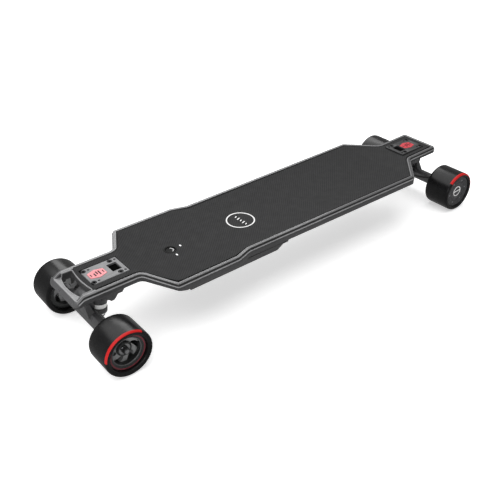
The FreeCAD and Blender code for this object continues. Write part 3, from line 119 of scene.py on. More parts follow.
# ---- materials
class Look:
    """A node material, made by adding layers to one Principled shader."""

    def __init__(self, name, colour, roughness, metallic=0.0, coat=0.0, specular=0.5):
        self.material = bpy.data.materials.new(name)
        self.material.use_nodes = True
        self.tree = self.material.node_tree
        self.shader = self.tree.nodes["Principled BSDF"]
        self.colour = (*colour, 1)
        self.shader.inputs["Base Color"].default_value = self.colour
        self.shader.inputs["Roughness"].default_value = roughness
        self.shader.inputs["Metallic"].default_value = metallic
        self.shader.inputs["Coat Weight"].default_value = coat
        self.shader.inputs["Coat Roughness"].default_value = 0.08
        self.shader.inputs["Specular IOR Level"].default_value = specular
        self.roughness = roughness
        self.place = self.add("ShaderNodeTexCoord").outputs["Object"]
        self.bump = None

    def add(self, kind, **settings):
        node = self.tree.nodes.new(kind)
        for name, value in settings.items():
            setattr(node, name, value)
        return node

    def link(self, source, target):
        self.tree.links.new(source, target)

    def turned(self, rotation=(0, 0, 0), scale=(1, 1, 1)):
        """The object's coordinates, turned and scaled."""
        node = self.add("ShaderNodeMapping")
        self.link(self.place, node.inputs["Vector"])
        node.inputs["Rotation"].default_value = rotation
        node.inputs["Scale"].default_value = scale
        return node.outputs["Vector"]

    def noise(self, scale, detail=3.0, stretch=(1, 1, 1)):
        node = self.add("ShaderNodeTexNoise")
        self.link(self.turned(scale=stretch), node.inputs["Vector"])
        node.inputs["Scale"].default_value = scale
        node.inputs["Detail"].default_value = detail
        return node.outputs["Fac"]

    def ranged(self, value, low, high, start=0.3, end=0.7):
        node = self.add("ShaderNodeMapRange")
        self.link(value, node.inputs["Value"])
        node.inputs["From Min"].default_value = start
        node.inputs["From Max"].default_value = end
        node.inputs["To Min"].default_value = low
        node.inputs["To Max"].default_value = high
        return node.outputs["Result"]

    def vary_colour(self, value, other, low=0.0, high=1.0, start=0.3, end=0.7):
        """Mixes another colour in by a value's share."""
        mix = self.add("ShaderNodeMix", data_type="RGBA")
        self.link(self.ranged(value, low, high, start, end), mix.inputs["Factor"])
        socket = self.shader.inputs["Base Color"]
        if socket.is_linked:
            self.link(socket.links[0].from_socket, mix.inputs["A"])
        else:
            mix.inputs["A"].default_value = self.colour
        mix.inputs["B"].default_value = (*other, 1)
        self.link(mix.outputs["Result"], socket)
        return self

    def vary_roughness(self, value, spread):
        result = self.ranged(value, self.roughness - spread, self.roughness + spread)
        self.link(result, self.shader.inputs["Roughness"])
        return self

    def raise_surface(self, value, depth, strength=1.0):
        """Adds relief from a value, depth in metres."""
        node = self.add("ShaderNodeBump")
        node.inputs["Distance"].default_value = depth
        node.inputs["Strength"].default_value = strength
        self.link(value, node.inputs["Height"])
        if self.bump:
            self.link(self.bump, node.inputs["Normal"])
        self.bump = node.outputs["Normal"]
        self.link(self.bump, self.shader.inputs["Normal"])
        return self

    def cells(self, pitch, turn=0.0, randomness=0.0, scale=(1, 1, 1)):
        """The distance from the nearest point of a turned grid, in pitches."""
        node = self.add("ShaderNodeTexVoronoi")
        self.link(self.turned((0, 0, turn), scale), node.inputs["Vector"])
        node.inputs["Scale"].default_value = 1 / pitch
        node.inputs["Randomness"].default_value = randomness
        return node.outputs["Distance"]


def grip_look():
    """Moulded grip: small raised dots on a diagonal grid, over a gritty skin."""
    look = Look("grip_mat", (0.028, 0.028, 0.0288), 0.7, specular=0.2)
    dots = look.cells(4.3 * MM, radians(45), scale=(1, 1, 0))
    grit = look.noise(2600, 2)
    look.vary_colour(dots, (0.0095, 0.0095, 0.0098), 0, 1, 0.24, 0.5)
    look.vary_colour(grit, (0.02, 0.02, 0.02), 0, 0.4, 0.5, 0.72)
    look.vary_colour(look.noise(5, 2), (0.023, 0.023, 0.0235), 0, 0.3)
    look.vary_roughness(look.noise(60, 4), 0.04)
    look.raise_surface(look.ranged(dots, 1, 0, 0.2, 0.52), 0.3 * MM, 0.3)
    return look.raise_surface(grit, 0.12 * MM, 0.5)


def plastic(name, colour, roughness, grain=0.05, coat=0.0, pitch=900, specular=0.5):
    """Moulded plastic or powder coat: a fine grain and slightly uneven gloss."""
    look = Look(name, colour, roughness, coat=coat, specular=specular)
    lighter = tuple(min(1, channel * 1.35 + 0.004) for channel in colour)
    look.vary_colour(look.noise(14, 4), lighter, 0, 0.5)
    look.vary_roughness(look.noise(45, 5), 0.06)
    return look.raise_surface(look.noise(pitch, 2), grain * MM, 0.6)


def casting(name, colour, roughness, metallic=0.6):
    """Painted casting: soft orange peel, rubbed a little at random."""
    look = Look(name, colour, roughness, metallic=metallic)
    lighter = tuple(min(1, channel * 1.8 + 0.01) for channel in colour)
    look.vary_colour(look.noise(30, 6), lighter, 0, 0.5, 0.45, 0.75)
    look.vary_roughness(look.noise(70, 4), 0.08)
    look.raise_surface(look.noise(420, 3), 0.12 * MM, 0.45)
    return look.raise_surface(look.noise(1500, 2), 0.04 * MM, 0.5)


def metal(name, colour, roughness, stretch=(1, 30, 1)):
    """Bare or plated metal with fine turning or drawing marks."""
    look = Look(name, colour, roughness, metallic=1.0)
    darker = tuple(channel * 0.6 for channel in colour)
    look.vary_colour(look.noise(60, 5), darker, 0, 0.5)
    look.vary_roughness(look.noise(120, 5), 0.08)
    return look.raise_surface(look.noise(900, 3, stretch), 0.02 * MM, 0.5)


def urethane(name, colour, roughness, coat, specular=0.5):
    """Cast urethane: glossy, with faint flow marks and dust."""
    look = Look(name, colour, roughness, coat=coat, specular=specular)
    dust = tuple(min(1, channel * 1.7 + 0.006) for channel in colour)
    look.vary_colour(look.noise(26, 5), dust, 0, 0.6, 0.4, 0.8)
    look.vary_roughness(look.noise(34, 5), 0.05)
    look.raise_surface(look.noise(22, 2), 0.25 * MM, 0.25)
    return look.raise_surface(look.noise(700, 3), 0.03 * MM, 0.4)


def pebbled_cover():
    """Motor cover: black coat with a coarse pebbled texture."""
    look = Look("motor_cover", (0.05, 0.05, 0.052), 0.42, metallic=0.35)
    pebbles = look.cells(1.5 * MM, randomness=1.0)
    look.vary_colour(pebbles, (0.14, 0.14, 0.145), 0, 1, 0.5, 0.15)
    look.vary_roughness(look.noise(80, 4), 0.1)
    return look.raise_surface(look.ranged(pebbles, 1, 0, 0.1, 0.6), 0.3 * MM, 0.8)


LOOKS = {
    "grip": grip_look(),
    "rim": plastic("deck_rim", (0.07, 0.07, 0.072), 0.3, 0.02, coat=0.3),
    # The next three: a light grey that paints a highlight on the rim's bead; a near-black that paints
    # shade on the rim's sloping bevel, beside its dark seam; a light grey that paints a highlight on
    # the rim's ledge and on the slot's lip.
    "bead_highlight": plastic("rim_bead_painted_highlight", (0.21, 0.21, 0.214), 0.32, 0.01, coat=0.2),
    "groove": plastic("rim_bevel_painted_shade", (0.014, 0.014, 0.014), 0.5, 0.02),
    "ledge_highlight": plastic("rim_ledge_painted_highlight", (0.24, 0.24, 0.245), 0.32, 0.01, coat=0.2),
    # Near-black, darker than the rest of the shell, so the gaps round the plates and the button show
    # dark: the skin's own dark tone and painted shade at once.
    "skin": plastic("deck_skin", (0.006, 0.006, 0.006), 0.6, specular=0.2),
    "hull": plastic("hull", (0.042, 0.042, 0.043), 0.42, 0.03),
    "tub": plastic("battery_tub", (0.042, 0.042, 0.043), 0.45, 0.06, pitch=600),
    "bar": plastic("carrying_bar", (0.15, 0.15, 0.153), 0.36, 0.02, coat=0.2),
    "liner": plastic("handle_liner", (0.035, 0.035, 0.036), 0.4, 0.02),
    "plate_front": plastic("front_plate", (0.17, 0.17, 0.174), 0.42, 0.05),
    "plate_rear": plastic("rear_plate", (0.028, 0.028, 0.029), 0.42, 0.05),
    "cast": casting("truck_casting", (0.09, 0.09, 0.092), 0.32, 0.35),
    "screw": metal("black_screw", (0.02, 0.02, 0.021), 0.42, (1, 1, 1)),
    "steel": metal("steel", (0.5, 0.5, 0.51), 0.28),
    "dark_steel": metal("dark_steel", (0.12, 0.12, 0.122), 0.35, (1, 1, 8)),
    "copper": metal("copper", (0.75, 0.36, 0.18), 0.35),
    "brass": metal("brass", (0.78, 0.6, 0.28), 0.3),
    "bushing": urethane("white_urethane", (0.97, 0.97, 0.95), 0.42, 0.1),
    "tyre": urethane("black_urethane", (0.004, 0.004, 0.0042), 0.24, 0.0, 0.27),
    "core": plastic("wheel_core", (0.012, 0.013, 0.013), 0.28, 0.02, coat=0.2),
    "spoke": plastic("wheel_spokes", (0.19, 0.192, 0.192), 0.24, 0.02, coat=0.4),
    "red": plastic("red_print", (0.47, 0.006, 0.006), 0.45, 0.01, specular=0.25),
    "dull_red": plastic("dull_red_print", (0.13, 0.014, 0.022), 0.4, 0.01),
    "badge": plastic("badge", (0.6, 0.13, 0.15), 0.32, 0.02, coat=0.3),
    "badge_rear": plastic("badge_rear", (0.5, 0.03, 0.045), 0.32, 0.02, coat=0.3),
    "glyph": plastic("badge_glyph", (0.03, 0.002, 0.004), 0.5, 0.01, specular=0.2),
    # Grey for the crescent on the power button: a painted highlight.
    "crescent_highlight": plastic("button_painted_highlight", (0.3, 0.3, 0.3), 0.3, 0.01),
    "white": plastic("white_print", (0.8, 0.8, 0.79), 0.4, 0.01),
    "cover": pebbled_cover(),
    "can": metal("motor_can", (0.09, 0.09, 0.093), 0.35),
    "rubber": plastic("rubber", (0.016, 0.016, 0.016), 0.6, 0.05),
    "gloss": plastic("gloss_black", (0.002, 0.002, 0.002), 0.45, 0.0, specular=0.08),
    # Flat black for the sheets in the plates' windows: painted shade.
    "painted_window_shade": plastic("window_shade_black", (0.002, 0.002, 0.002), 0.9, 0.0, specular=0.0),
    "board": plastic("circuit_board", (0.01, 0.09, 0.035), 0.35, 0.03),
    "cell": plastic("cell_wrap", (0.02, 0.1, 0.28), 0.3, 0.02),
    "ivory": plastic("ivory_plastic", (0.6, 0.58, 0.5), 0.45),
    "lens": plastic("light_lens", (0.85, 0.85, 0.87), 0.2, 0.0, coat=0.4),
}


# ---- mesh helpers
SHARP = 32                # the angle, in degrees, from which an edge is shaded as sharp
SAME_PLACE = 1e-7         # metres within which two points are one


def shade(mesh, sharp):
    """Smooth shading between edges sharper than an angle in degrees."""
    mesh.shade_smooth()
    mesh.set_sharp_from_angle(angle=radians(sharp))


def object_from(name, build):
    """A new object in the scene from a bmesh, which is used up."""
    mesh = bpy.data.meshes.new(name)
    build.to_mesh(mesh)
    build.free()
    return placed(name, mesh)


def finish_mesh(name, build, look, body, node=None, sharp=SHARP):
    """A piece from a bmesh: outward faces, smooth shading between sharp edges, a look, a body."""
    bmesh.ops.remove_doubles(build, verts=build.verts, dist=SAME_PLACE)
    bmesh.ops.recalc_face_normals(build, faces=build.faces)
    piece = object_from(name, build)
    shade(piece.data, sharp)
    return dress(piece, look, body, node)


def dress(piece, look, body, node=None):
    """Gives a piece its look, its body and the CAD node that it stands for."""
    piece.data.materials.clear()
    piece.data.materials.append(LOOKS[look].material)
    if body:
        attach(piece, body)
    if node:
        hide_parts(node)
    return piece


def ring_faces(build, rings, closed_rows=True, closed_ring=True):
    """Quads between rings of equal length, and from the last ring to the first where closed."""
    last = len(rings) if closed_rows else len(rings) - 1
    for row in range(last):
        near, far = rings[row], rings[(row + 1) % len(rings)]
        count = len(near)
        for index in range(count if closed_ring else count - 1):
            after = (index + 1) % count
            build.faces.new((near[index], near[after], far[after], far[index]))


def ring_solid(
    name, rings, look, body, node=None, closed_rows=True, closed_ring=True, sharp=SHARP
):
    """A solid through rings of points in metres, with flat faces over whatever is not closed."""
    build = bmesh.new()
    rings = [[build.verts.new(point) for point in ring] for ring in rings]
    ring_faces(build, rings, closed_rows, closed_ring)
    if not closed_rows:
        build.faces.new(rings[0])
        build.faces.new(rings[-1])
    if not closed_ring:
        build.faces.new([ring[0] for ring in rings])
        build.faces.new([ring[-1] for ring in rings])
    return finish_mesh(name, build, look, body, node, sharp)


def lathe(name, profile, centre, look, body, node, steps, axis="y", side=1, closed=True):
    """A piece turned from (radius, place) points in millimetres about an axis through a centre.

    A closed profile makes a ring; an open one starts and ends on the axis.  side mirrors it.
    """
    build = bmesh.new()
    rings = []
    for radius, along in profile:
        ring = []
        for step in range(steps):
            angle = 2 * pi * step / steps
            across, up = radius * cos(angle), radius * sin(angle)
            offset = (across, along * side, up) if axis == "y" else (across, up, along * side)
            ring.append(build.verts.new(centre + mm(*offset)))
        rings.append(ring)
    ring_faces(build, rings, closed)
    bmesh.ops.remove_doubles(build, verts=build.verts, dist=SAME_PLACE)
    bmesh.ops.dissolve_degenerate(build, edges=build.edges, dist=SAME_PLACE / 10)
    return finish_mesh(name, build, look, body, node)


def cut_from(piece, cutters):
    """Takes closed cutters away from a piece, for good, and deletes them."""
    for cutter in cutters:
        modifier = piece.modifiers.new("cut", "BOOLEAN")
        modifier.operation = "DIFFERENCE"
        modifier.solver = "EXACT"
        modifier.object = cutter
    apply_modifiers(piece)
    for cutter in cutters:
        bpy.data.objects.remove(cutter)
    shade(piece.data, SHARP)


def apply_modifiers(piece):
    """Puts the modifiers' result in place of a piece's mesh."""
    depsgraph = bpy.context.evaluated_depsgraph_get()
    mesh = bpy.data.meshes.new_from_object(piece.evaluated_get(depsgraph))
    piece.modifiers.clear()
    old = piece.data
    piece.data = mesh
    bpy.data.meshes.remove(old)


def bare_block(low, high):
    """A plain box to cut with."""
    build = bmesh.new()
    bmesh.ops.create_cube(build, size=1)
    for vert in build.verts:
        vert.co = Vector([low[n] + (high[n] - low[n]) * (vert.co[n] + 0.5) for n in range(3)])
    return object_from("cutter", build)


def bare_rod(centre, radius, depth, steps):
    """A plain upright cylinder to cut with."""
    build = bmesh.new()
    bmesh.ops.create_cone(
        build, cap_ends=True, segments=steps, radius1=radius, radius2=radius, depth=depth
    )
    bmesh.ops.translate(build, verts=build.verts, vec=centre)
    return object_from("cutter", build)


def softened(node, look, body, width=0.5, segments=2):
    """A copy of a CAD node with its sharp edges rounded."""
    rounded_angle, shading_angle, flat_angle, cad_gap = 35, 50, 0.6, 2e-6
    build = bmesh.new()
    build.from_mesh(frame["nodes"][node].data)
    bmesh.ops.remove_doubles(build, verts=build.verts, dist=cad_gap)
    bmesh.ops.dissolve_limit(
        build, angle_limit=radians(flat_angle), verts=build.verts, edges=build.edges
    )
    piece = finish_mesh(node + "_shaped", build, look, body, node, rounded_angle)
    bevel = piece.modifiers.new("bevel", "BEVEL")
    bevel.width = width * MM
    bevel.segments = segments
    bevel.limit_method = "ANGLE"
    bevel.angle_limit = radians(rounded_angle)
    apply_modifiers(piece)
    shade(piece.data, shading_angle)


# ---- deck outline
DECK_LOW, DECK_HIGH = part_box("deck_shell")
NOSE_X = DECK_HIGH.x / MM
TAIL_X = DECK_LOW.x / MM
WIDEST = DECK_HIGH.y / MM
CORNER_RADIUS = 9
INNER_CORNER_RADIUS = 14
SMALLEST_RADIUS = 0.6
RUN_LENGTH = 4.5

# the outline's corners on the left, from the nose back: (X, Y) in millimetres
LEFT_CORNERS = [
    (NOSE_X, 46), (490, 52.5), (364, 52.5), (328, WIDEST), (190, WIDEST), (157, 108),
    (-313, 114), (-373, 50), (TAIL_X, 50),
]

# heights in millimetres at places along the board: rim, middle of the dished top, underside
STATION_X = [TAIL_X, -373, -313, 310, 328, 364, 477, 491, NOSE_X]
RIM_HEIGHTS = [125, 122.9, 121.1, 121.5, 121.5, 126, 126.5, 119.3, 117.5]
DISH_HEIGHTS = [124.1, 121.9, 111.5, 111.5, 114.5, 124.7, 125.5, 118.3, 116.5]
UNDER_HEIGHTS = [110, 110, 101.5, 101.5, 107.5, 110, 110, 106.5, 105]
BAND_X = [364, 477, 486.8, 489.6, NOSE_X]
BAND_HEIGHTS = [126, 126.5, 119.6, 119.5, 113.4]
BAR_TOP = 119.5
BAR_BOTTOM = 108.7
BAR_FRONT_X = 489.9
BEVEL_START_X = 488.6
DISH_AXIS = 711.5
SEAM_DROP = 9
SLOT_FRONT_X, SLOT_FRONT_BOW = 476, 7
SLOT_BACK_X, SLOT_BACK_BOW = 454.2, 4.2
SLOT_BACK_HEIGHT = 126.25
SLOT_EDGE_STEP_X = 474
MAT_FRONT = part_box("grip_mat")[1].x / MM


def rim_height(x):
    return float(np.interp(x, STATION_X, RIM_HEIGHTS))


def band_height(x):
    """The rim's flat band, which runs down over the nose."""
    if x < BAND_X[0]:
        return rim_height(x)
    return float(np.interp(x, BAND_X, BAND_HEIGHTS))


def under_height(x):
    return float(np.interp(x, STATION_X, UNDER_HEIGHTS))


def dish_height(x, y):
    """The dished top: an arc across the board about an axis high above it."""
    lowest = float(np.interp(x, STATION_X, DISH_HEIGHTS))
    radius = DISH_AXIS - lowest
    return DISH_AXIS - sqrt(radius ** 2 - y ** 2)


def meeting(point, direction, other_point, other_direction):
    """Where two flat lines cross."""
    across = direction.x * other_direction.y - direction.y * other_direction.x
    gap = other_point - point
    along = (gap.x * other_direction.y - gap.y * other_direction.x) / across
    return point + direction * along


def deck_outline(inset, arc_steps=8):
    """Flat points round the deck, moved in from its edge, as many for every inset."""
    corners = [Vector(corner) for corner in LEFT_CORNERS]
    corners += [Vector((x, -y)) for x, y in reversed(LEFT_CORNERS)]
    count = len(corners)
    lines = []
    for index, corner in enumerate(corners):
        direction = (corners[(index + 1) % count] - corner).normalized()
        lines.append((corner + Vector((-direction.y, direction.x)) * inset, direction))
    arcs = []
    for index in range(count):
        (before, arriving), (after, leaving) = lines[index - 1], lines[index]
        corner = meeting(before, arriving, after, leaving)
        turn = atan2(arriving.x * leaving.y - arriving.y * leaving.x, arriving.dot(leaving))
        radius = CORNER_RADIUS - inset if turn > 0 else INNER_CORNER_RADIUS + inset
        radius = max(radius, SMALLEST_RADIUS)
        start = corner - arriving * radius * tan(abs(turn) / 2)
        side = Vector((-arriving.y, arriving.x)) * copysign(1, turn)
        centre = start + side * radius
        arcs.append([
            centre + Matrix.Rotation(turn * step / arc_steps, 2) @ (start - centre)
            for step in range(arc_steps + 1)
        ])
    points = []
    for index, arc in enumerate(arcs):
        points += arc
        span = (corners[(index + 1) % count] - corners[index]).length
        runs = max(2, round(span / RUN_LENGTH))
        follower = arcs[(index + 1) % count][0]
        points += [arc[-1].lerp(follower, run / runs) for run in range(1, runs)]
    return points


RIM, BAND, UNDER = rim_height, band_height, under_height


def sweep_round(name, section, look, node=None):
    """A closed section carried round the deck: (inset, line of heights, drop below that line)."""
    rings = [
        [mm(p.x, p.y, line(p.x) - drop) for p in deck_outline(inset)]
        for inset, line, drop in section
    ]
    return ring_solid(name, rings, look, "deck", node)


def half_width_table(inset):
    """The outline's (X, half width) on the left, from the tail to the nose."""
    left = sorted((p.x, p.y) for p in deck_outline(inset) if p.y > 0)
    return [p[0] for p in left], [p[1] for p in left]


def sheet_solid(name, inset, top, bottom, front, look, node=None, rows=30):
    """A sheet over the deck's plan, from the tail to a front edge, between two height functions."""
    sharp, edge_share, wide_share = 40, 0.994, 0.985
    places, widths = half_width_table(inset)
    columns = sorted({round(x, 3) for x in places if x < front - 1} | {front})
    shares = [wide_share * (2 * n / rows - 1) for n in range(rows + 1)]
    shares = [-1, -edge_share, *shares, edge_share, 1]
    build = bmesh.new()
    layers = []
    for height in (top, bottom):
        grid = []
        for x in columns:
            half = float(np.interp(x, places, widths))
            grid.append([
                build.verts.new(mm(x, half * t, height(x, half * t))) for t in shares
            ])
        layers.append(grid)
    for grid in layers:
        ring_faces(build, grid, closed_rows=False, closed_ring=False)
    for edge in (0, -1):
        ring_faces(build, [[row[edge] for row in grid] for grid in layers], False, False)
        ring_faces(build, [grid[edge] for grid in layers], False, False)
    return finish_mesh(name, build, look, "deck", node, sharp)


# ---- deck
def rounded_loop(centre_x, half_x, half_y, radius, steps=8):
    """A rounded rectangle's flat points about (centre_x, 0), in millimetres."""
    points = []
    for quarter, (way_x, way_y) in enumerate([(1, 1), (-1, 1), (-1, -1), (1, -1)]):
        for step in range(steps + 1):
            angle = radians(90 * (quarter + step / steps))
            points.append(Vector((
                centre_x + way_x * (half_x - radius) + radius * cos(angle),
                way_y * (half_y - radius) + radius * sin(angle),
            )))
    return points


def make_rim():
    """The deck shell's rim: a flat band, a bead in a light grey that paints a highlight, a dark bevel
    and groove whose near-black paints shade on the sloping bevel beside a dark seam, a ledge in a light
    grey that paints a highlight, and a side.
    """
    sweep_round(
        "deck_rim",
        [(9.3, RIM, 4), (9, BAND, 3.6), (8.8, BAND, 0.8), (8.5, BAND, 0.25), (7.9, BAND, 0),
         (7, BAND, 0.05), (6.6, BAND, 0.3), (3.4, BAND, 0.3), (2.9, BAND, 0.45), (2.6, BAND, 0.9),
         (3.2, BAND, 2.6), (9.3, RIM, 4.6)],
        "rim", "deck_shell",
    )
    # The bead's light grey is a painted highlight.
    sweep_round(
        "rim_bead_painted_highlight",
        [(8.75, BAND, 0.9), (8.7, BAND, 0.3), (8.3, BAND, -0.05), (7.7, BAND, -0.12),
         (7.1, BAND, -0.05), (6.8, BAND, 0.25), (6.8, BAND, 0.9)],
        "bead_highlight",
    )
    # The bevel's near-black is painted shade; its seam groove is a dark joint.
    bevel = sweep_round(
        "rim_bevel",
        [(2.75, BAND, 0.85), (2.1, RIM, 2.6), (1.7, RIM, 3.9), (1.9, RIM, 4.6), (1.9, RIM, 5.6),
         (4.2, RIM, 5.6), (4.2, BAND, 2.2)],
        "groove",
    )
    # The ledge's light grey is a painted highlight.
    ledge_highlight = sweep_round(
        "rim_ledge_painted_highlight",
        [(1.9, RIM, 4.7), (1.2, RIM, 4.75), (0.35, RIM, 4.9), (0.05, RIM, 5.2), (0, RIM, 5.8),
         (0.15, RIM, 6.3), (0.6, RIM, 6.4), (3, RIM, 6.4), (3, RIM, 5.4)],
        "ledge_highlight",
    )
    front = sweep_round(
        "nose_bevel",
        [(3.4, BAND, 0.6), (2.7, BAND, 0.75), (1.4, BAND, 0.5), (0.5, BAND, 0.9),
         (0.1, BAND, 1.8), (0.15, RIM, 7.2), (3.4, RIM, 7.2)],
        "rim",
    )
    low, high, reach = 0.05, 0.2, 0.6
    for piece in (bevel, ledge_highlight):
        cut_from(piece, [bare_block((BEVEL_START_X * MM, -0.1, low), (reach, 0.1, high))])
    cut_from(front, [bare_block((-reach, -0.2, low), (BEVEL_START_X * MM, 0.2, high))])
    sweep_round(
        "rim_side",
        [(0.45, RIM, 6.3), (0.25, RIM, 6.6), (0.2, RIM, 8.4), (0.5, RIM, 8.8), (1.2, RIM, 8.95),
         (13, RIM, 8.95), (13, RIM, 6), (3, RIM, 6.3)],
        "hull",
    )


def make_hull_wall():
    """The lower shell's outer wall, from the seam to its rounded bottom edge."""
    section = [
        (4.6, RIM, SEAM_DROP + 0.1), (2.2, RIM, SEAM_DROP + 0.1), (1.2, RIM, SEAM_DROP + 0.3),
        (0.8, RIM, SEAM_DROP + 0.9), (0.8, UNDER, -2.4), (1.1, UNDER, -1.2), (1.8, UNDER, -0.35),
        (3, UNDER, 0), (6.5, UNDER, 0), (6.5, UNDER, -2.5), (4.6, UNDER, -3.5),
    ]
    sweep_round("hull_wall", section, "hull", "lower_shell")


def plate_box(end, growth, low, high):
    """A box round a top plate's plan, between two heights in millimetres."""
    corner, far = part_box(f"{end}_top_plate")
    room = growth * MM
    return bare_block(
        (corner.x - room, corner.y - room, low * MM), (far.x + room, far.y + room, high * MM)
    )


LIGHT_OFFSETS = ((-23, 0), (0, 23))      # the two lights, from the power button's middle
LIGHT_RADIUS = 1.7


def deck_cutters(plate_room, plate_floor):
    """Cutters for what stands in the deck's top: both plates, the power button, the lights."""
    over_all, hole_depth, room = 140, 30 * MM, 0.1
    button = middle("power_button_bezel")
    bezel_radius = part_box("power_button_bezel")[1].x - button.x + room * MM
    cutters = [plate_box(end, plate_room[end], plate_floor, over_all) for end in FACING]
    cutters.append(bare_rod(button, bezel_radius, hole_depth, 64))
    for x, y in LIGHT_OFFSETS:
        place = button + mm(x, y, 0)
        cutters.append(bare_rod(place, (LIGHT_RADIUS + room) * MM, hole_depth, 24))
    return cutters


def below_dish(drop):
    return lambda x, y: dish_height(x, y) - drop


def make_deck_surfaces():
    """The grip mat, the dished skin under it, near-black so that it paints shade where it shows through
    gaps, and the floor of the hull.
    """
    mat_inset, mat_thickness, skin_inset, skin_top, skin_bottom = 11.8, 1.6, 9, 1.7, 5.6
    floor_inset, floor_top, floor_bottom = 5.5, 2.6, 0.02
    mat = sheet_solid(
        "grip_surface", mat_inset, dish_height, below_dish(mat_thickness), MAT_FRONT,
        "grip", "grip_mat",
    )
    # The mat's holes are grown round the plates so the near-black skin shows there as a painted shadow
    # line.
    cut_from(mat, deck_cutters({"front": 1.2, "rear": 0.9}, 100))
    skin = sheet_solid(
        "deck_skin", skin_inset, below_dish(skin_top), below_dish(skin_bottom), MAT_FRONT + 3,
        "skin", rows=16,
    )
    cut_from(skin, deck_cutters({"front": 0.2, "rear": 0.2}, 120.95))
    floor = sheet_solid(
        "hull_floor", floor_inset, lambda x, y: under_height(x) + floor_top,
        lambda x, y: under_height(x) + floor_bottom, NOSE_X - 6, "hull", rows=12,
    )
    low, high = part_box("battery_tub")
    slot_low, slot_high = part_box("nose_handle_liner")
    over_floor = 0.2
    margin = mm(14, 10, 0)
    cut_from(floor, [
        bare_block((*(low + margin).xy, 0), (*(high - margin).xy, over_floor)),
        bare_block((*slot_low.xy, 0), (*slot_high.xy, over_floor)),
    ])


def slot_loop(growth):
    """The carrying slot's plan, grown all round: both long sides are bowed towards the nose."""
    liner_room = 2.4
    front, back = SLOT_FRONT_X + growth, SLOT_BACK_X - growth
    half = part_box("nose_handle_liner")[1].y / MM - liner_room + growth
    loop = rounded_loop((front + back) / 2, (front - back) / 2, half, 4 + growth, 5)
    shaped = []
    for index, point in enumerate(loop):
        follower = loop[(index + 1) % len(loop)]
        runs = 14 if (follower - point).length > half else 1
        shaped += [point.lerp(follower, run / runs) for run in range(runs)]
    for point in shaped:
        ahead = (point.x - back) / (front - back)
        bow = SLOT_BACK_BOW * (1 - ahead) + SLOT_FRONT_BOW * ahead
        point.x += bow * (1 - (point.y / half) ** 2)
    return shaped


def slot_edge_height(x):
    """The slot's edge is at the deck's height inboard and at the carrying bar's height ahead."""
    return BAR_TOP if x > SLOT_EDGE_STEP_X else SLOT_BACK_HEIGHT


def slot_ring(name, section, look, node=None):
    """A ring round the slot from (growth, drop below the slot's edge, or a fixed height) points."""
    rings = [
        [mm(p.x, p.y, fixed or slot_edge_height(p.x) - drop) for p in slot_loop(growth)]
        for growth, drop, fixed in section
    ]
    return ring_solid(name, rings, look, "deck", node)


def make_nose():
    """The carrying bar, the mat's front strip, and the slot's cheeks, lip and liner."""
    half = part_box("nose_handle_liner")[1].y / MM
    steps = 24
    places = [half * (2 * n / steps - 1) for n in range(steps + 1)]

    def bowed(edge, bow):
        return [Vector((edge + bow * (1 - (y / half) ** 2), y)) for y in places]

    def square_end(x):
        return [Vector((x, half)), Vector((x, -half))]

    bar = bowed(SLOT_FRONT_X, SLOT_FRONT_BOW) + square_end(BAR_FRONT_X)
    slab("carrying_bar", bar, BAR_BOTTOM, BAR_TOP, "bar", "deck", 0.5)
    strip_bottom, strip_top = 120, 125.75
    strip = bowed(SLOT_BACK_X - 0.6, SLOT_BACK_BOW) + square_end(MAT_FRONT - 0.4)
    slab("mat_front_strip", strip, strip_bottom, strip_top, "grip", "deck", 0.3)
    cheek_end, cheek_side, cheek_bottom, cheek_runs = 489, 46, 110, 19
    for name, side in SIDES:
        rings = []
        for n in range(cheek_runs + 1):
            x = MAT_FRONT - 1 + (cheek_end - MAT_FRONT) * n / cheek_runs
            top = band_height(x) - 0.25
            rings.append([
                mm(x, y * side, z)
                for y, z in [(half - 1, top - 0.5), (half - 0.6, top), (cheek_side, top),
                             (cheek_side, cheek_bottom), (half - 1, cheek_bottom)]
            ])
        ring_solid(f"{name}_slot_cheek", rings, "rim", "deck", closed_rows=False)
    # The slot's lip takes the ledge's light grey: a painted highlight.
    slot_ring(
        "slot_lip",
        [(1.9, 0.4, None), (1.8, -0.35, None), (1.2, -0.6, None), (0.4, -0.45, None),
         (0, 0.1, None), (0, 1.6, None), (1.9, 1.6, None)],
        "ledge_highlight",
    )
    slot_ring(
        "carrying_slot_liner",
        [(0.15, 1.2, None), (0.15, 4, None), (0.25, None, 110.8), (0.5, None, 110.2),
         (1.6, None, 110.1), (2.2, None, 110.6), (2.2, 1.2, None)],
        "liner", "nose_handle_liner",
    )


def on_mat(x, y, rise):
    """A point of the mat's surface, lifted a little."""
    return mm(x, y, dish_height(x, y) + rise)


def surface_patch(name, loops, look):
    """A thin raised print on the mat, its outline given by outer and hole loops in the plan."""
    rise, root = 0.12, -0.6
    build = bmesh.new()
    layers = [
        [[build.verts.new(on_mat(p.x, p.y, lift)) for p in loop] for loop in loops]
        for lift in (rise, root)
    ]
    for layer in layers:
        verts = [vert for loop in layer for vert in loop]
        flat = [[Vector((v.co.x, v.co.y, 0)) for v in loop] for loop in layer]
        for triangle in tessellate_polygon(flat):
            build.faces.new([verts[n] for n in triangle])
    for upper, lower in zip(*layers):
        ring_faces(build, [upper, lower], closed_rows=False)
    return finish_mesh(name, build, look, "deck")


def circle_loop(x, y, radius, steps=72):
    angles = [2 * pi * n / steps for n in range(steps)]
    return [Vector((x + radius * cos(a), y + radius * sin(a))) for a in angles]


def make_emblem():
    """A white ring printed on the mat, with a row of slanted strokes across it."""
    x, radius, line = 96, 30, 2.6
    surface_patch("emblem_ring", [circle_loop(x, 0, radius), circle_loop(x, 0, radius - line)], "white")
    pitch = 8.5
    for index, length in enumerate((5, 8, 5, 8, 5)):
        y = pitch * (index - 2)
        stroke = [
            Vector((x + length / 2 * way, y + across))
            for way, across in [(-1, -1.2), (1, 1.4), (1, 4.0), (-1, 1.4)]
        ]
        surface_patch(f"emblem_stroke_{index}", [stroke], "white")


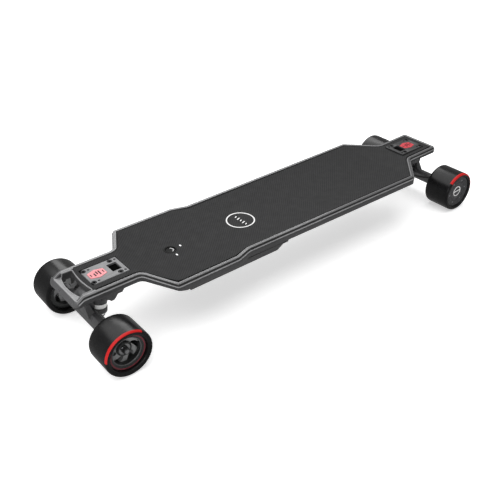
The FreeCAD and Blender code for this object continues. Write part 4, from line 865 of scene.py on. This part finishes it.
# ---- button and lights
def make_button():
    """The power button with a grey crescent on its cap that paints a highlight, its bezel and the two
    lights.
    """
    centre = middle("power_button_bezel")
    base = Vector((centre.x, centre.y, dish_height(centre.x / MM, 0) * MM))
    lathe(
        "button_bezel",
        [(13, -6.4), (13, -0.1), (12.6, 0.35), (12, 0.4), (10.6, 0.25), (10.1, -0.3), (9.9, -1),
         (9.9, -5.6), (0, -5.6), (0, -6.4)],
        base, "gloss", "deck", "power_button_bezel", 72, "z", closed=False,
    )
    lathe(
        "button_cap",
        [(0, -4.2), (9.5, -4.2), (9.6, -4.1), (9.6, -1.5), (9.3, -0.9), (8.7, -0.7), (7.6, -0.75),
         (7.3, -1.05), (4, -1.35), (0, -1.45)],
        base, "gloss", "power_button", "power_button", 72, "z", closed=False,
    )
    # A grey crescent on the button's cap: a painted highlight.
    inner, outer, top, bottom = 5, 7, -0.85, -1.5
    angles = [radians(100 + 6 * n) for n in range(26)]
    lines = [
        [base + mm(radius * cos(a), radius * sin(a), rise) for a in angles]
        for radius, rise in ((inner, top), (outer, top), (outer, bottom), (inner, bottom))
    ]
    ring_solid("button_crescent_highlight", lines, "crescent_highlight", "power_button", closed_ring=False)
    for index, (x, y) in enumerate(LIGHT_OFFSETS):
        at = Vector((centre.x / MM + x, y))
        top = dish_height(at.x, at.y)
        bar = rounded_loop(at.x, LIGHT_RADIUS, 3.1, 1.65, 6)
        for point in bar:
            point.y += at.y
        slab(
            f"status_light_{index}", bar, top - 4, top + 0.4, "lens", "deck", 0.3,
            "status_lights" if index == 0 else None,
        )


# ---- plates
def hexagon_loop(end, badge_out, reach, half, end_half):
    """The badge's six corners, in the plan, in millimetres."""
    x = outward_x(end, badge_out)
    return [
        Vector((x + reach * a, b)) for a, b in
        [(-1, -end_half), (0, -half), (1, -end_half), (1, end_half), (0, half), (-1, end_half)]
    ]


def slab(name, loop, low, high, look, body, bevel=0.35, node=None):
    """A flat-topped solid over a plan loop, with a bevelled top edge."""
    centre = sum(loop, Vector((0, 0))) / len(loop)
    rings = []
    for height, shrink in ((low, 0), (high - bevel, 0), (high, bevel)):
        ring = []
        for point in loop:
            away = point - centre
            moved = centre + away * (1 - shrink / max(away.length, 1e-6))
            ring.append(mm(moved.x, moved.y, height))
        rings.append(ring)
    return ring_solid(name, rings, look, body, node, closed_rows=False)


def socket_screw(name, centre, head, shank, length, node):
    """A deck screw with a button head and a six-sided socket, its head's top at the centre."""
    steps, sharp = 36, 28
    socket = head * 0.5
    profile = [
        (socket, -2.2), (socket, -0.15), (socket + 0.35, 0), (head * 0.72, 0), (head * 0.92, -0.5),
        (head, -1.2), (head, -2.6), (shank, -2.7), (shank, -length),
    ]
    rings = []
    for index, (radius, rise) in enumerate(profile):
        ring = []
        for step in range(steps):
            angle = 2 * pi * step / steps
            reach = radius
            if index < 2:
                reach = radius * cos(pi / 6) / cos((angle % (pi / 3)) - pi / 6)
            ring.append(centre + mm(reach * cos(angle), reach * sin(angle), rise))
        rings.append(ring)
    return ring_solid(name, rings, "screw", "deck", node, closed_rows=False, sharp=sharp)


def bolt_places(end):
    """The four mounting bolts, from the middle of the record's second row of holes."""
    mount = next(m for m in frame["record"]["mounts"] if m["name"] == f"{end}_accessory_holes")
    span, gauge = mount["dims"]["spacing_x_mm"], mount["dims"]["spacing_y_mm"]
    x = mount["pos_m"][0] / MM + 10 * FACING[end]
    return [(x + span / 2 * a, gauge / 2 * b) for a in (-1, 1) for b in (-1, 1)]


def make_top_plates():
    """Each end's plate with its badge, a black sheet in its window that paints the shade there, its
    bolts and their nuts.
    """
    window_out, window_half_x, window_half_y = -61, 9.2, 12.4
    window_shade_bottom, window_shade_top, nut_bottom, nut_top = 120.7, 121.6, 98.1, 102
    corners = [(-1, -0.8), (-0.8, -1), (0.8, -1), (1, -0.8), (1, 0.8), (0.8, 1), (-0.8, 1), (-1, 0.8)]
    for end, badge_out, badge in (("front", -26, "badge"), ("rear", -32.5, "badge_rear")):
        softened(f"{end}_top_plate", f"plate_{end}", "deck", 0.35)
        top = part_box(f"{end}_top_plate")[1].z / MM
        slab(
            f"{end}_badge_plate", hexagon_loop(end, badge_out, 16.4, 13.9, 8.4),
            top - 0.7, top + 0.48, badge, "deck", 0.4, f"{end}_plate_badge",
        )
        make_badge_marks(end, badge_out, top)
        window_x = outward_x(end, window_out)
        # A black sheet in the plate's window paints the shade there.
        window_shade_loop = [Vector((window_x + window_half_x * a, window_half_y * b)) for a, b in corners]
        slab(f"{end}_window_painted_shade", window_shade_loop, window_shade_bottom, window_shade_top, "painted_window_shade", "deck", 0.3)
        for index, (x, y) in enumerate(bolt_places(end)):
            socket_screw(
                f"{end}_bolt_{index}", mm(x, y, top - 0.3), 5, 2.4, 27,
                f"{end}_mounting_bolts" if index == 0 else None,
            )
            nut = circle_loop(x, y, 4.5, 6)
            slab(f"{end}_lock_nut_{index}", nut, nut_bottom, nut_top, "screw", "deck", 0.4)


def make_badge_marks(end, badge_out, top):
    """Three stepped bars and two end ticks, cut in a darker tone."""
    x = outward_x(end, badge_out)
    bars = [(-5, 0, 2.6, 13), (0, -2, 2.6, 9.6), (5, 2, 2.6, 9.6), (-12.2, 0, 1.9, 7.5),
            (12.2, 0, 1.9, 7.5)]
    for index, (along, across, thick, wide) in enumerate(bars):
        loop = [
            Vector((x + along + thick / 2 * a, across + wide / 2 * b))
            for a, b in [(-1, -1), (1, -1), (1, 1), (-1, 1)]
        ]
        slab(f"{end}_badge_mark_{index}", loop, top, top + 0.6, "glyph", "deck", 0.1)


# ---- trucks
KINGPIN_TILT = radians(-8)
RING_CENTRE = (-20, 4.4)
# where the bushings start and stop along the kingpin, in millimetres from the hanger's ring
BOARD_BUSHING = (5, 15)
ROAD_BUSHING = (-12, -5)


def kingpin_frame(end, distance):
    """A matrix whose Z runs up the kingpin, at a distance from the middle of the hanger's ring."""
    facing = FACING[end]
    up = Vector((sin(KINGPIN_TILT) * facing, 0, cos(KINGPIN_TILT)))
    start = AXLES[end] + mm(RING_CENTRE[0] * facing, 0, RING_CENTRE[1])
    turn = up.to_track_quat("Z", "Y").to_matrix().to_4x4()
    return Matrix.Translation(start + up * distance * MM) @ turn


def kingpin_ring(name, end, distance, profile, look, node=None):
    """A ring turned about the kingpin, at a distance up it."""
    piece = lathe(name, profile, Vector(), look, None, node, 72, "z")
    piece.data.transform(kingpin_frame(end, distance))
    return piece


def make_bushings(end):
    """White board-side bushing and smaller road-side bushing, squeezed between deck and hanger."""
    upper = kingpin_ring(
        f"{end}_board_bushing", end, BOARD_BUSHING[0],
        [(5, 0), (13.4, 0), (14, 0.5), (14.2, 1.4), (13.9, 5), (14.2, 8.6), (14, 9.5), (13.4, 10),
         (5, 10)],
        "bushing", f"{end}_bushings",
    )
    bottom, top = (kingpin_frame(end, place).translation for place in BOARD_BUSHING)
    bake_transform(upper)
    lower = kingpin_ring(
        f"{end}_road_bushing", end, ROAD_BUSHING[1],
        [(5, -7), (9.8, -7), (10.4, -6.6), (12.8, -2), (13.1, -0.8), (12.8, 0), (5, 0)],
        "bushing",
    )
    start, stop = (kingpin_frame(end, place).translation for place in ROAD_BUSHING)
    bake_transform(lower)


def make_washers(end):
    """The cupped washers at both ends of the bushings."""
    upper = kingpin_ring(
        f"{end}_board_washer", end, BOARD_BUSHING[1],
        [(5, 0.1), (13.6, 0.1), (14.2, -0.6), (14.7, -0.5), (14.8, 0.1), (14.6, 1.5), (14, 2),
         (5, 2)],
        "dark_steel", f"{end}_bushing_washers",
    )
    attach(upper, "deck")
    thickness = 1.6
    lower = kingpin_ring(
        f"{end}_road_washer", end, ROAD_BUSHING[0] - thickness,
        [(5, 0), (10.6, 0), (11.2, 0.4), (11.2, 1.2), (10.6, thickness), (5, thickness)],
        "dark_steel",
    )
    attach(lower, "deck")


def make_cables():
    """Each motor's cable, from the hull down and along the hanger to the axle's collar."""
    axle = AXLES["rear"] / MM
    route = [
        (-86, 20, 110), (-85.4, 21, 95.5), (-76, 31, 79.5), (-50, 44, 67.5), (-25, 57, 59.5),
        (-9, 68, 57.5),
    ]
    cable_radius = 2.4
    for name, side in SIDES:
        curve = bpy.data.curves.new(f"{name}_motor_cable", "CURVE")
        curve.dimensions = "3D"
        curve.bevel_depth = cable_radius * MM
        curve.bevel_resolution = 6
        curve.use_fill_caps = True
        spline = curve.splines.new("NURBS")
        spline.points.add(len(route) - 1)
        for point, (out, across, height) in zip(spline.points, route):
            place = mm(axle.x - out, across * side, height)
            point.co = (*place, 1)
        spline.order_u = 3
        spline.use_endpoint_u = True
        spline.resolution_u = 16
        guide = placed(f"{name}_motor_cable", curve)
        mesh = bpy.data.meshes.new_from_object(
            guide.evaluated_get(bpy.context.evaluated_depsgraph_get())
        )
        bpy.data.objects.remove(guide)
        piece = placed(f"{name}_motor_cable_tube", mesh)
        mesh.shade_smooth()
        dress(piece, "rubber", None, "motor_cables" if side > 0 else None)
        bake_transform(piece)


def make_trucks():
    for end in FACING:
        softened(f"{end}_baseplate", "cast", "deck", 0.7, 3)
        softened(f"{end}_hanger", "cast", f"{end}_truck", 0.8, 3)
        make_bushings(end)
        make_washers(end)


# ---- wheels
# where each wheel's red stripe starts and stops, in degrees from the nose up
ARC_SPANS = {
    ("front", "left"): (4, 128), ("rear", "left"): (44, 188),
    ("front", "right"): (184, 308), ("rear", "right"): (192, 318),
}
STRIPE_DEPTH = 0.5


def wheel_centre(end):
    """The middle of an axle, on the board's middle plane."""
    return Vector((AXLES[end].x, 0, AXLES[end].z))


def about_axle(centre, radius, angle, along):
    """A point at a radius in millimetres and an angle about an axle, along it from the centre."""
    return centre + mm(radius * cos(angle), along, radius * sin(angle))


def wheel_ring(end, name, part, profile, look, node=None, steps=128, closed=True):
    """A turned part of a wheel, (radius, distance from the board's middle plane) round its axle."""
    return lathe(
        f"{end}_{name}_{part}", profile, wheel_centre(end), look, f"wheel_{end}_{name}", node, steps,
        side=dict(SIDES)[name], closed=closed,
    )


def make_tyre(end, name, side, lip):
    """The urethane tyre: tread, rounded outer shoulder and the given sloped lip on its face."""
    low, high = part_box(f"{end}_{name}_tyre")
    inner_y, outer_y = sorted((abs(low.y) / MM, abs(high.y) / MM))
    radius = (high.z - low.z) / 2 / MM
    inner_shoulder = [(2.4, 0.4), (0.9, 1.9), (0.15, 4), (0, 6.5)]
    outer_shoulder = [(0, 8.5), (0.1, 6.6), (0.55, 4.8), (1.3, 3.4), (2.4, 2.4), (3.8, 2)]
    profile = [
        (36.4, inner_y + 6), (38, inner_y + 1.5), (39.5, inner_y + 0.3), (41, inner_y),
        *[(radius - drop, inner_y + back) for drop, back in inner_shoulder],
        *[(radius - drop, outer_y - back) for drop, back in outer_shoulder],
        *lip, (36.4, outer_y - 10.5),
    ]
    wheel_ring(end, name, "tread", profile, "tyre", f"{end}_{name}_tyre")
    make_arc(end, name, side, radius, outer_y)


def make_arc(end, name, side, radius, outer_y):
    """The red stripe printed along part of the outer shoulder."""
    drops = [(0, 7.4), (0.03, 6.5), (0.45, 4.75), (1.2, 3.3), (2.2, 2.45)]
    if end == "rear":
        drops.append((3.6, 2))
    section = [(radius - drop, outer_y - back) for drop, back in drops]
    section += [(r - STRIPE_DEPTH, a - STRIPE_DEPTH) for r, a in reversed(section)]
    first, last = ARC_SPANS[end, name]
    steps = 60
    angles = [radians(first + (last - first) * step / steps) for step in range(steps + 1)]
    lines = [
        [about_axle(wheel_centre(end), reach, angle, along * side) for angle in angles]
        for reach, along in section
    ]
    ring_solid(
        f"{end}_{name}_red_stripe", lines, "red", f"wheel_{end}_{name}", closed_ring=False
    )


def spoke_loop(start_radius, end_radius, sweep, width, steps=14):
    """A curved spoke's outline in the wheel's plane: a band that swings round as it goes out."""
    left, right = [], []
    for step in range(steps + 1):
        share = step / steps
        radius = start_radius + (end_radius - start_radius) * share
        angle = sweep * share ** 1.3
        half = width / 2 * (1 + 0.55 * abs(2 * share - 1) ** 2.2) / radius
        left.append((radius, angle - half))
        right.append((radius, angle + half))
    return left + right[::-1]


def make_front_core(name, side):
    """The moulded core: hub, swept spokes, rim ring with a printed groove and a face ring."""
    centre, body = wheel_centre("front"), f"wheel_front_{name}"
    wheel_ring(
        "front", name, "core_rim",
        [(36.3, 90), (36.3, 135.2), (35.6, 136), (34.6, 136), (33.9, 135.5), (33.2, 135.5),
         (32.6, 135.9), (31.2, 135.5), (28.4, 133.2), (27.4, 132.9), (26.9, 132.2), (26.6, 131),
         (26.8, 124), (27.4, 110), (28, 90)],
        "core", f"front_{name}_core",
    )
    wheel_ring(
        "front", name, "core_lip",
        [(26.9, 132), (27, 132.7), (27.5, 133.3), (28.3, 133.5), (28.8, 133.2), (28.6, 132.4)],
        "rim",
    )
    wheel_ring(
        "front", name, "ring_print",
        [(34.8, 135.6), (34.8, 136.15), (32.2, 136), (32.2, 135.2)], "dull_red",
    )
    wheel_ring(
        "front", name, "hub",
        [(11, 101), (13.6, 101), (14.5, 102), (14.5, 123.5), (13.8, 125), (12.4, 125.6), (11, 125.2)],
        "core", steps=72,
    )
    spoke_start, spoke_end, spoke_width = 13.6, 28.2, 10.6
    outer_slope, inner_slope = 0.28, -0.28 * 0.2
    loop = spoke_loop(spoke_start, spoke_end, radians(32), spoke_width)
    for index in range(6):
        turn = radians(60 * index + 12)
        rings = []
        for slope, along in ((inner_slope, 101), (inner_slope, 102.5), (outer_slope, 117.5),
                             (outer_slope, 119), (outer_slope, 119.6)):
            ring = []
            for radius, angle in loop:
                place = along + slope * (radius - spoke_start)
                ring.append(about_axle(centre, radius, angle * side + turn, place * side))
            rings.append(ring)
        ring_solid(f"front_{name}_spoke_{index}", rings, "spoke", body, closed_rows=False)


def make_motor_cover(name, side):
    """The hub motor's outer cover: stepped rings, raised pads, screws and a ringed centre mark."""
    centre, body = wheel_centre("rear"), f"wheel_rear_{name}"
    wheel_ring(
        "rear", name, "cover_disc",
        [(0, 136), (37, 136), (37.1, 137), (37.1, 139.2), (36.5, 139.9), (35.2, 140), (34.4, 139.6),
         (33.6, 138.5), (32.8, 138.2), (31.2, 138.2), (30.6, 138.6), (24.6, 138.8), (24, 138.4),
         (23.2, 138), (22.4, 138.4), (14.2, 138.6), (13.6, 138.2), (12.9, 137.9), (0, 137.9)],
        "cover", f"rear_{name}_motor_cover", closed=False,
    )
    steps, pad_start, pad_span, screw_after, screw_radius = 48, 8, 34, 47, 27.6
    for index in range(6):
        first = 60 * index + pad_start
        angles = [radians(first + pad_span * n / steps) for n in range(steps + 1)]
        lines = [
            [about_axle(centre, radius, angle, along * side) for angle in angles]
            for radius, along in ((24.9, 138.5), (25.2, 139.3), (30.0, 139.2), (30.4, 138.3))
        ]
        ring_solid(f"rear_{name}_cover_pad_{index}", lines, "cover", body, closed_ring=False)
        at = about_axle(centre, screw_radius, radians(first + screw_after), 138.6 * side)
        lathe(
            f"rear_{name}_cover_screw_{index}",
            [(0, 0.2), (0.9, 0.2), (1.1, 0.8), (1.7, 0.8), (2.1, 0.4), (2.1, -0.4), (0, -0.4)],
            at, "steel", body, None, 20, side=side, closed=False,
        )
    ring = [(12.4, 137.8), (12.4, 138.75), (10.7, 138.75), (10.7, 137.8)]
    wheel_ring("rear", name, "mark_ring", ring, "white", steps=72)
    bar = [(-10.8, -1.2), (10.8, 0.3), (10.8, 2.1), (-10.8, 0.6)]
    turn = Matrix.Rotation(radians(-8), 2)
    ends = [turn @ Vector(corner) for corner in bar]
    rings = [
        [centre + mm(end.x, along * side, end.y) for end in ends]
        for along in (137.8, 138.3)
    ]
    ring_solid(f"rear_{name}_mark_bar", rings, "white", body, closed_rows=False)


FRONT_LIP = [(40.2, 143.7), (37.6, 142.2), (36.6, 141.2), (36.3, 140)]
REAR_LIP = [(40.2, 143.9), (38.4, 142.9), (37.5, 141.6), (37.25, 140.2)]


def make_wheels():
    for name, side in SIDES:
        make_tyre("front", name, side, FRONT_LIP)
        make_tyre("rear", name, side, REAR_LIP)
        make_front_core(name, side)
        make_motor_cover(name, side)


# ---- CAD nodes that stay
KEPT_NODES = {
    "rubber": ["tub_seal", "charge_cap", "front_pivot_cup", "rear_pivot_cup"],
    "screw": ["tub_screws"],
    "cell": ["battery_cells"],
    "ivory": ["cell_end_plates"],
    "board": ["battery_board"],
    "brass": ["charge_socket"],
    "can": ["motor_controller", "rear_{side}_motor_can"],
    "steel": ["front_axle", "rear_axle", "front_axle_spacers", "front_{side}_bearings",
              "rear_{side}_motor_bearings", "rear_{side}_motor_magnets"],
    "dark_steel": ["front_axle_nuts", "front_kingpin", "rear_kingpin", "rear_{side}_stator_core"],
    "copper": ["rear_{side}_stator_coils"],
}


def dress_kept_nodes():
    """Gives the CAD nodes that stay their looks, on both sides where a name has a side in it."""
    for look, nodes in KEPT_NODES.items():
        for node, (name, _) in product(nodes, SIDES):
            materials = frame["nodes"][node.format(side=name)].data.materials
            materials.clear()
            materials.append(LOOKS[look].material)


# ---- stage and light
def add_floor():
    """A wide pale floor."""
    build = bmesh.new()
    bmesh.ops.create_grid(build, x_segments=1, y_segments=1, size=20)
    floor = object_from("floor", build)
    look = Look("floor", (0.9, 0.9, 0.9), 0.9, specular=0.0)
    look.shader.inputs["Emission Color"].default_value = (1, 1, 1, 1)
    look.shader.inputs["Emission Strength"].default_value = 0.5
    floor.data.materials.append(look.material)
    floor.visible_glossy = False


def add_softbox(name, place, target, size, power):
    light = bpy.data.lights.new(name, "AREA")
    light.shape = "RECTANGLE"
    light.size, light.size_y = size
    light.energy = power
    lamp = placed(name, light)
    lamp.location = place
    lamp.rotation_euler = (Vector(target) - Vector(place)).to_track_quat("-Z", "Y").to_euler()


def add_light():
    """A dim room behind a white backdrop, a wide soft sun from above and two softboxes."""
    scene = bpy.context.scene
    scene.view_settings.view_transform = "Standard"
    scene.world = bpy.data.worlds.new("studio")
    scene.world.use_nodes = True
    tree = scene.world.node_tree
    background = tree.nodes["Background"]
    background.inputs["Color"].default_value = (1, 1, 1, 1)
    seen = tree.nodes.new("ShaderNodeLightPath").outputs["Is Camera Ray"]
    strength = tree.nodes.new("ShaderNodeMapRange")
    strength.inputs["To Min"].default_value = 0.3
    tree.links.new(seen, strength.inputs["Value"])
    tree.links.new(strength.outputs["Result"], background.inputs["Strength"])
    sun = bpy.data.lights.new("sky", "SUN")
    sun.energy = 2.6
    sun.angle = radians(80)
    lamp = placed("sky", sun)
    lamp.rotation_euler = (radians(12), radians(10), 0)
    add_softbox("sheen", (-0.7, -1.5, 1.28), (0.25, 0, 0.12), (1.6, 0.8), 14)
    add_softbox("side", (1.2, 0.9, 0.5), (0.3, 0, 0.06), (0.5, 0.5), 3)


make_rim()
make_hull_wall()
make_deck_surfaces()
make_nose()
make_emblem()
make_button()
make_top_plates()
make_trucks()
make_cables()
make_wheels()
softened("battery_tub", "tub", "deck", 0.5)
dress_kept_nodes()
add_floor()
add_light()
